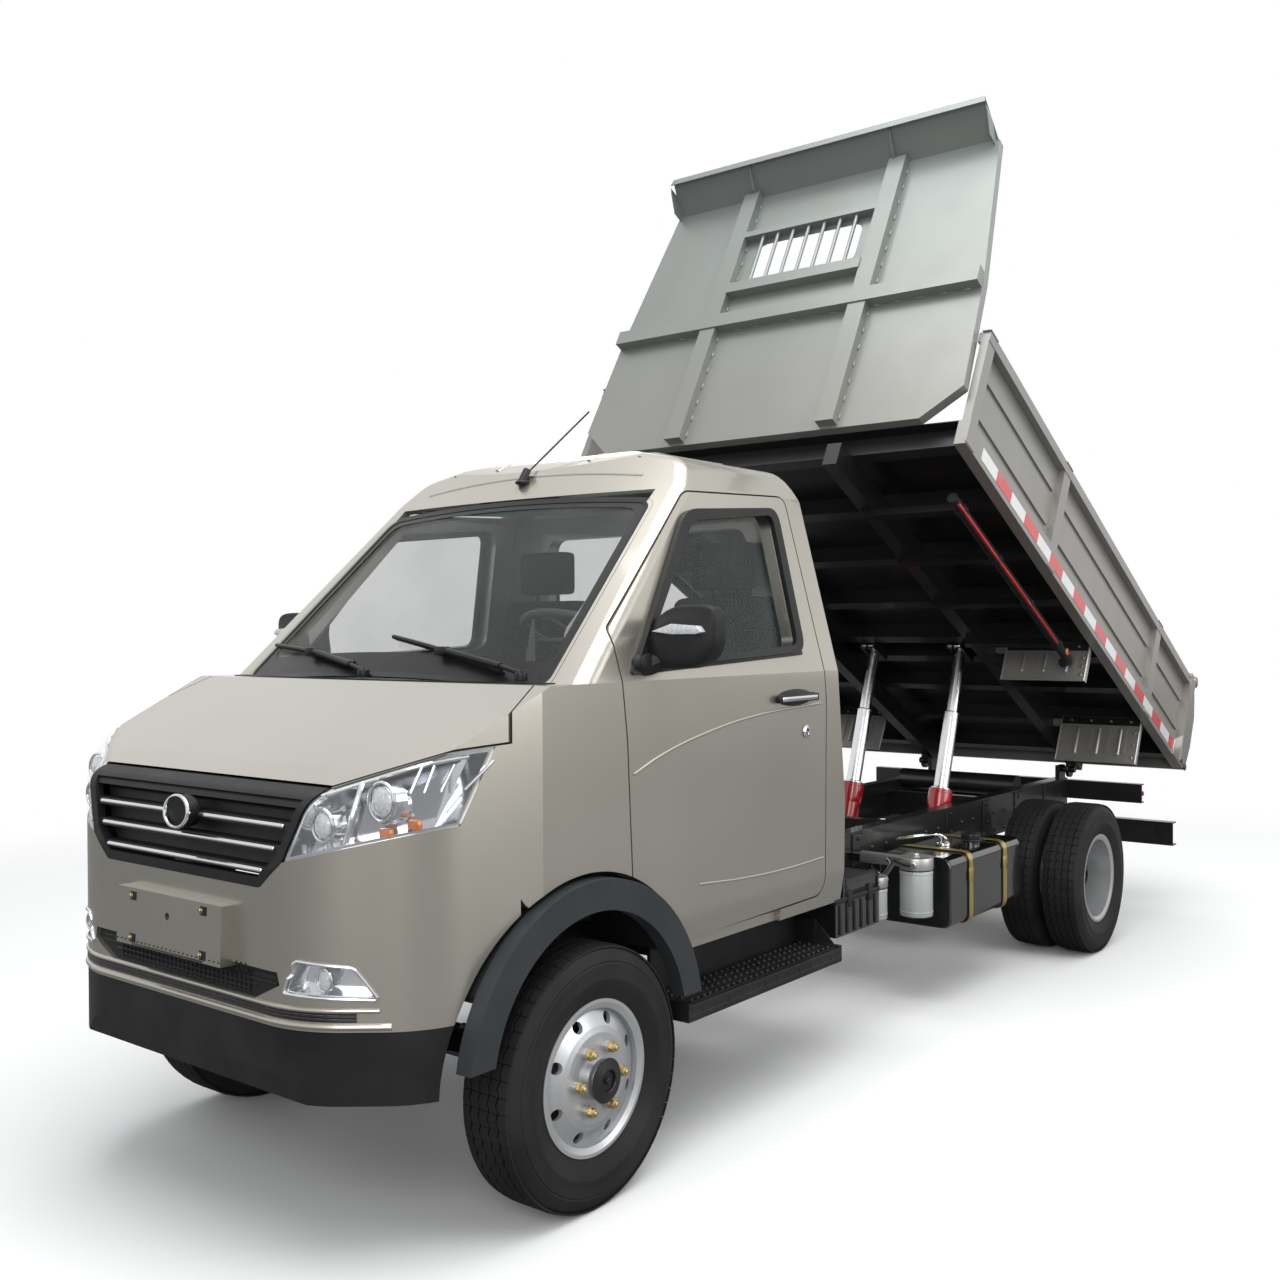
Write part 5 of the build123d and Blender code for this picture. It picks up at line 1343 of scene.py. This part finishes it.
class TRUCK_OT_bed_gear(bpy.types.Operator):
    """Guard tubes, mudguard rims, corner plates, post feet, gate hinges and the headboard's welds"""
    bl_idname = "truck.bed_gear"
    bl_label = "Bed gear"

    def execute(self, context):
        self.guard()
        self.mudguards()
        self.corners()
        self.gate_hinges()
        self.headboard()
        return {"FINISHED"}

    def guard(self):
        across, up = 0.8, 0.016
        parts = [bar("sleeve", [Vector((across, y, up)) for y in (-2.566, -1.9, -1.272)], 0.0205, 5),
                 pipe("end", [Vector((across, -1.275, up)), Vector((across - 0.005, -1.235, up)),
                              Vector((across - 0.035, -1.215, up))], 0.0195)]
        parts += [drum("clamp", (across, y, up), 0.0245, 0.034, "Y", 24, edge=0.002)
                  for y in steps(-2.48, -1.40, 4)]
        on_bed("guard_sleeve", parts, "black_plastic")
        on_bed("guard_stripe", [cuboid("stripe", (0.8115, -2.54, -0.001), (0.8215, -1.43, 0.009), 0.002)],
               "tape_red")
        on_bed("guard_reflector", [drum("eye", (0.8215, -1.325, up), 0.0155, 0.008, "X", 28, edge=0.002)],
               "amber_lamp")

    def mudguards(self):
        """Rims, pressed ribs, top strips and bolts of the front and rear mudguards."""
        rims, bolts, strips, outer = [], [], [], 0.866
        for y, inner, low in ((-1.194, 0.49, -0.06), (-0.394, 0.482, -0.11)):
            corners = ((inner, 0.1), (inner, low), (outer, low), (outer, 0.1))
            rims.append(bar("rim", [Vector((x, y - 0.003, z)) for x, z in corners], 0.005, 2))
            rims.append(cuboid("flange", (outer - 0.004, y - 0.002, low + 0.004), (outer, y + 0.03, 0.12),
                               0.001, 1))
            strips.append(cuboid("strip", (inner + 0.004, y - 0.006, 0.085),
                                 (outer - 0.004, y - 0.001, 0.126), 0.001, 1))
            foot, head, thick = low + 0.045, 0.062, 0.008
            for x in steps(inner + 0.09, 0.78, 3):
                rims.append(bar("rib", [Vector((x, y - 0.004, z)) for z in (foot, 0.02, head)], thick))
                rims += [ball("end", (x, y - 0.004, z), (thick, thick, thick), 12) for z in (foot, head)]
            bolts += [bolt(Vector((x, y - 0.006, 0.105)), 0.005, "Y", -1.0)
                      for x in steps(inner + 0.05, 0.82, 4)]
            bolts += [bolt(Vector((0.845, y - 0.002, z)), 0.006, "Y", -1.0)
                      for z in steps(low + 0.03, 0.05, 3)]
        on_bed("mudguard_edges", rims, "alloy")
        on_bed("mudguard_strips", strips, "frame_black")
        on_bed("mudguard_bolts", bolts, "bolt_gold")

    def side_plate(self, name, outline, out, thick, edge):
        """A plate that stands on the bed's side; its outline is (along, up)."""
        return plate(name, [Vector((BED_SIDE + out, y, z)) for y, z in outline], (thick, 0, 0), edge)

    def corners(self):
        outline = ((-0.04, 0.102), (0.145, 0.102), (0.145, 0.27), (0.1, 0.27), (-0.04, 0.18))
        on_bed("bed_corner", [self.side_plate("corner", outline, 0.002, 0.005, 0.0012)], "cab_paint")
        feet = []
        for y in (-2.746, -1.88, -0.495, 0.115):
            feet += [cuboid("foot", (BED_SIDE, y - 0.04, 0.1035), (BED_SIDE + 0.004, y + 0.04, 0.12), 0.0012),
                     cuboid("cap", (0.885, y - 0.038, 0.588), (0.921, y + 0.038, 0.5925), 0.0015)]
        on_bed("post_feet", feet, "bed_grey")

    def gate_hinges(self):
        hinge = [drum("eye", (0.908, 0.176, 0.6), 0.029, 0.03, "X", 28, edge=0.003),
                 cuboid("strap", (0.896, 0.06, 0.572), (BED_SIDE, 0.17, 0.598), 0.003)]
        hinge += [bolt(Vector((BED_SIDE, y, 0.585)), 0.008, "X") for y in (0.08, 0.12)]
        on_bed("gate_hinge", hinge, "bed_grey")
        outline = ((0.09, 0.11), (0.2, 0.11), (0.214, 0.128), (0.2, 0.15), (0.18, 0.135), (0.09, 0.14))
        on_bed("gate_hook", [self.side_plate("hook", outline, 0.0, 0.006, 0.0015),
                             bolt(Vector((0.9225, 0.105, 0.125)), 0.01, "X")], "frame_black")

    def headboard(self):
        """Weld beads along the headboard's bars."""
        face = -2.818
        welds = [ball("weld", (x, face, z), (0.005, 0.004, 0.016), 8)
                 for x in (0.3165, 0.3975) for z in steps(0.25, 1.47, 16)]
        welds += [ball("weld", (x, face, z), (0.018, 0.004, 0.005), 8)
                  for z in (0.772, 0.84) for x in steps(0.04, 0.80, 9)]
        on_bed("headboard_welds", welds, "bed_grey", angle=60)


# Stage


class TRUCK_OT_stage(bpy.types.Operator):
    """Camera at the photograph's angle, pale floor, soft lamps and a white surround"""
    bl_idname = "truck.stage"
    bl_label = "Stage"

    def execute(self, context):
        scene = context.scene
        scene.view_settings.view_transform = "Standard"
        self.camera(scene)
        self.floor()
        self.surround(scene)
        for name, place, size, power in (("lamp_top", (1.5, -1.5, 7.5), 7.0, 520.0),
                                         ("lamp_front", (4.0, -7.5, 3.6), 4.0, 210.0),
                                         ("lamp_side", (7.0, 1.0, 3.0), 4.5, 170.0),
                                         ("lamp_back", (-5.0, 6.5, 5.0), 5.0, 150.0)):
            data = bpy.data.lights.new(name, "AREA")
            data.size, data.energy = size, power
            lamp = bpy.data.objects.new(name, data)
            scene.collection.objects.link(lamp)
            lamp.location = place
            lamp.rotation_euler = (Vector((0, 0, 0.9)) - lamp.location).to_track_quat("-Z", "Y").to_euler()
        return {"FINISHED"}

    def camera(self, scene):
        view = scene.truck_camera
        yaw, pitch, roll = -view.yaw, -view.pitch, view.roll
        ahead = Vector((math.sin(yaw) * math.cos(pitch), math.cos(yaw) * math.cos(pitch), math.sin(pitch)))
        level = Vector((math.cos(yaw), -math.sin(yaw), 0))
        under = ahead.cross(level)
        right = level * math.cos(roll) + under * math.sin(roll)
        down = under * math.cos(roll) - level * math.sin(roll)
        data = bpy.data.cameras.new("camera")
        data.lens, data.sensor_width = view.lens, 36
        data.clip_start, data.clip_end = 0.05, 200
        camera = bpy.data.objects.new("camera", data)
        scene.collection.objects.link(camera)
        turn = Matrix((right, -down, -ahead)).transposed().to_4x4()
        camera.matrix_world = Matrix.Translation(spot(*view.place)) @ turn
        scene.camera = camera

    def floor(self):
        """Pale to the camera, darker to the lamps' bounce, and white in the distance."""
        floor = added("floor", bpy.ops.mesh.primitive_plane_add, size=60, location=(0, 0, -0.0005))
        finish = Finish("floor")
        seen = Amount(finish, finish.node("ShaderNodeLightPath").outputs["Is Camera Ray"])
        finish.cover(Base_Color=finish.mix(seen, (0.2, 0.2, 0.2), (0.9, 0.9, 0.9)), Roughness=0.7)
        across, along = finish.axis("X"), finish.axis("Y")
        far = (across * across + along * along).step(10.0, 45.0)
        white = finish.node("ShaderNodeEmission", {}, {"Color": (1.0, 1.0, 1.0)})
        blend = finish.node("ShaderNodeMixShader", {}, {0: far * seen, 1: finish.shader.outputs[0],
                                                        2: white.outputs[0]})
        finish.feed(finish.tree.nodes["Material Output"].inputs["Surface"], blend.outputs[0])
        coated(floor, "floor")

    def surround(self, scene):
        """White to the camera, reflections and glass, and a softer sky for the light."""
        world = bpy.data.worlds.new("studio")
        scene.world = world
        world.use_nodes = True
        tree = world.node_tree
        tree.nodes.clear()
        path, seen, clear, soft, white, blend, output = (
            tree.nodes.new(f"ShaderNode{kind}") for kind in
            ("LightPath", "Math", "Math", "Background", "Background", "MixShader", "OutputWorld"))
        seen.operation = clear.operation = "MAXIMUM"
        soft.inputs["Strength"].default_value = 0.5
        soft.inputs["Color"].default_value = (0.95, 0.98, 1.0, 1)
        white.inputs["Color"].default_value = (1, 1, 1, 1)
        for source, target in ((path.outputs["Is Glossy Ray"], clear.inputs[0]),
                               (path.outputs["Is Transmission Ray"], clear.inputs[1]),
                               (path.outputs["Is Camera Ray"], seen.inputs[0]),
                               (clear.outputs[0], seen.inputs[1]), (seen.outputs[0], blend.inputs[0]),
                               (soft.outputs[0], blend.inputs[1]), (white.outputs[0], blend.inputs[2]),
                               (blend.outputs[0], output.inputs["Surface"])):
            tree.links.new(source, target)


OPERATORS = (TRUCK_OT_stage, TRUCK_OT_finishes, TRUCK_OT_tyres, TRUCK_OT_wheel_trim, TRUCK_OT_glazing,
             TRUCK_OT_mirrors, TRUCK_OT_wipers, TRUCK_OT_nose, TRUCK_OT_cab_lines, TRUCK_OT_seats,
             TRUCK_OT_cabin, TRUCK_OT_side_gear, TRUCK_OT_lift, TRUCK_OT_rear, TRUCK_OT_chassis_bolts,
             TRUCK_OT_bed_tape, TRUCK_OT_bed_gear)


class TRUCK_PT_pieces(bpy.types.Panel):
    """Lists the truck's pieces"""
    bl_label = "Dump truck"
    bl_space_type = "VIEW_3D"
    bl_region_type = "UI"
    bl_category = "Dump truck"

    def draw(self, context):
        for operator in OPERATORS:
            self.layout.operator(operator.bl_idname)


CLASSES = (*SETTINGS.values(), *OPERATORS, TRUCK_PT_pieces)


def register():
    for piece in CLASSES:
        bpy.utils.register_class(piece)
    for name, group in SETTINGS.items():
        setattr(bpy.types.Scene, name, PointerProperty(type=group))


def unregister():
    for name in SETTINGS:
        delattr(bpy.types.Scene, name)
    for piece in reversed(CLASSES):
        bpy.utils.unregister_class(piece)


def main():
    register()
    for operator in OPERATORS:
        group, name = operator.bl_idname.split(".")
        getattr(getattr(bpy.ops, group), name)()


if __name__ == "__main__":
    main()
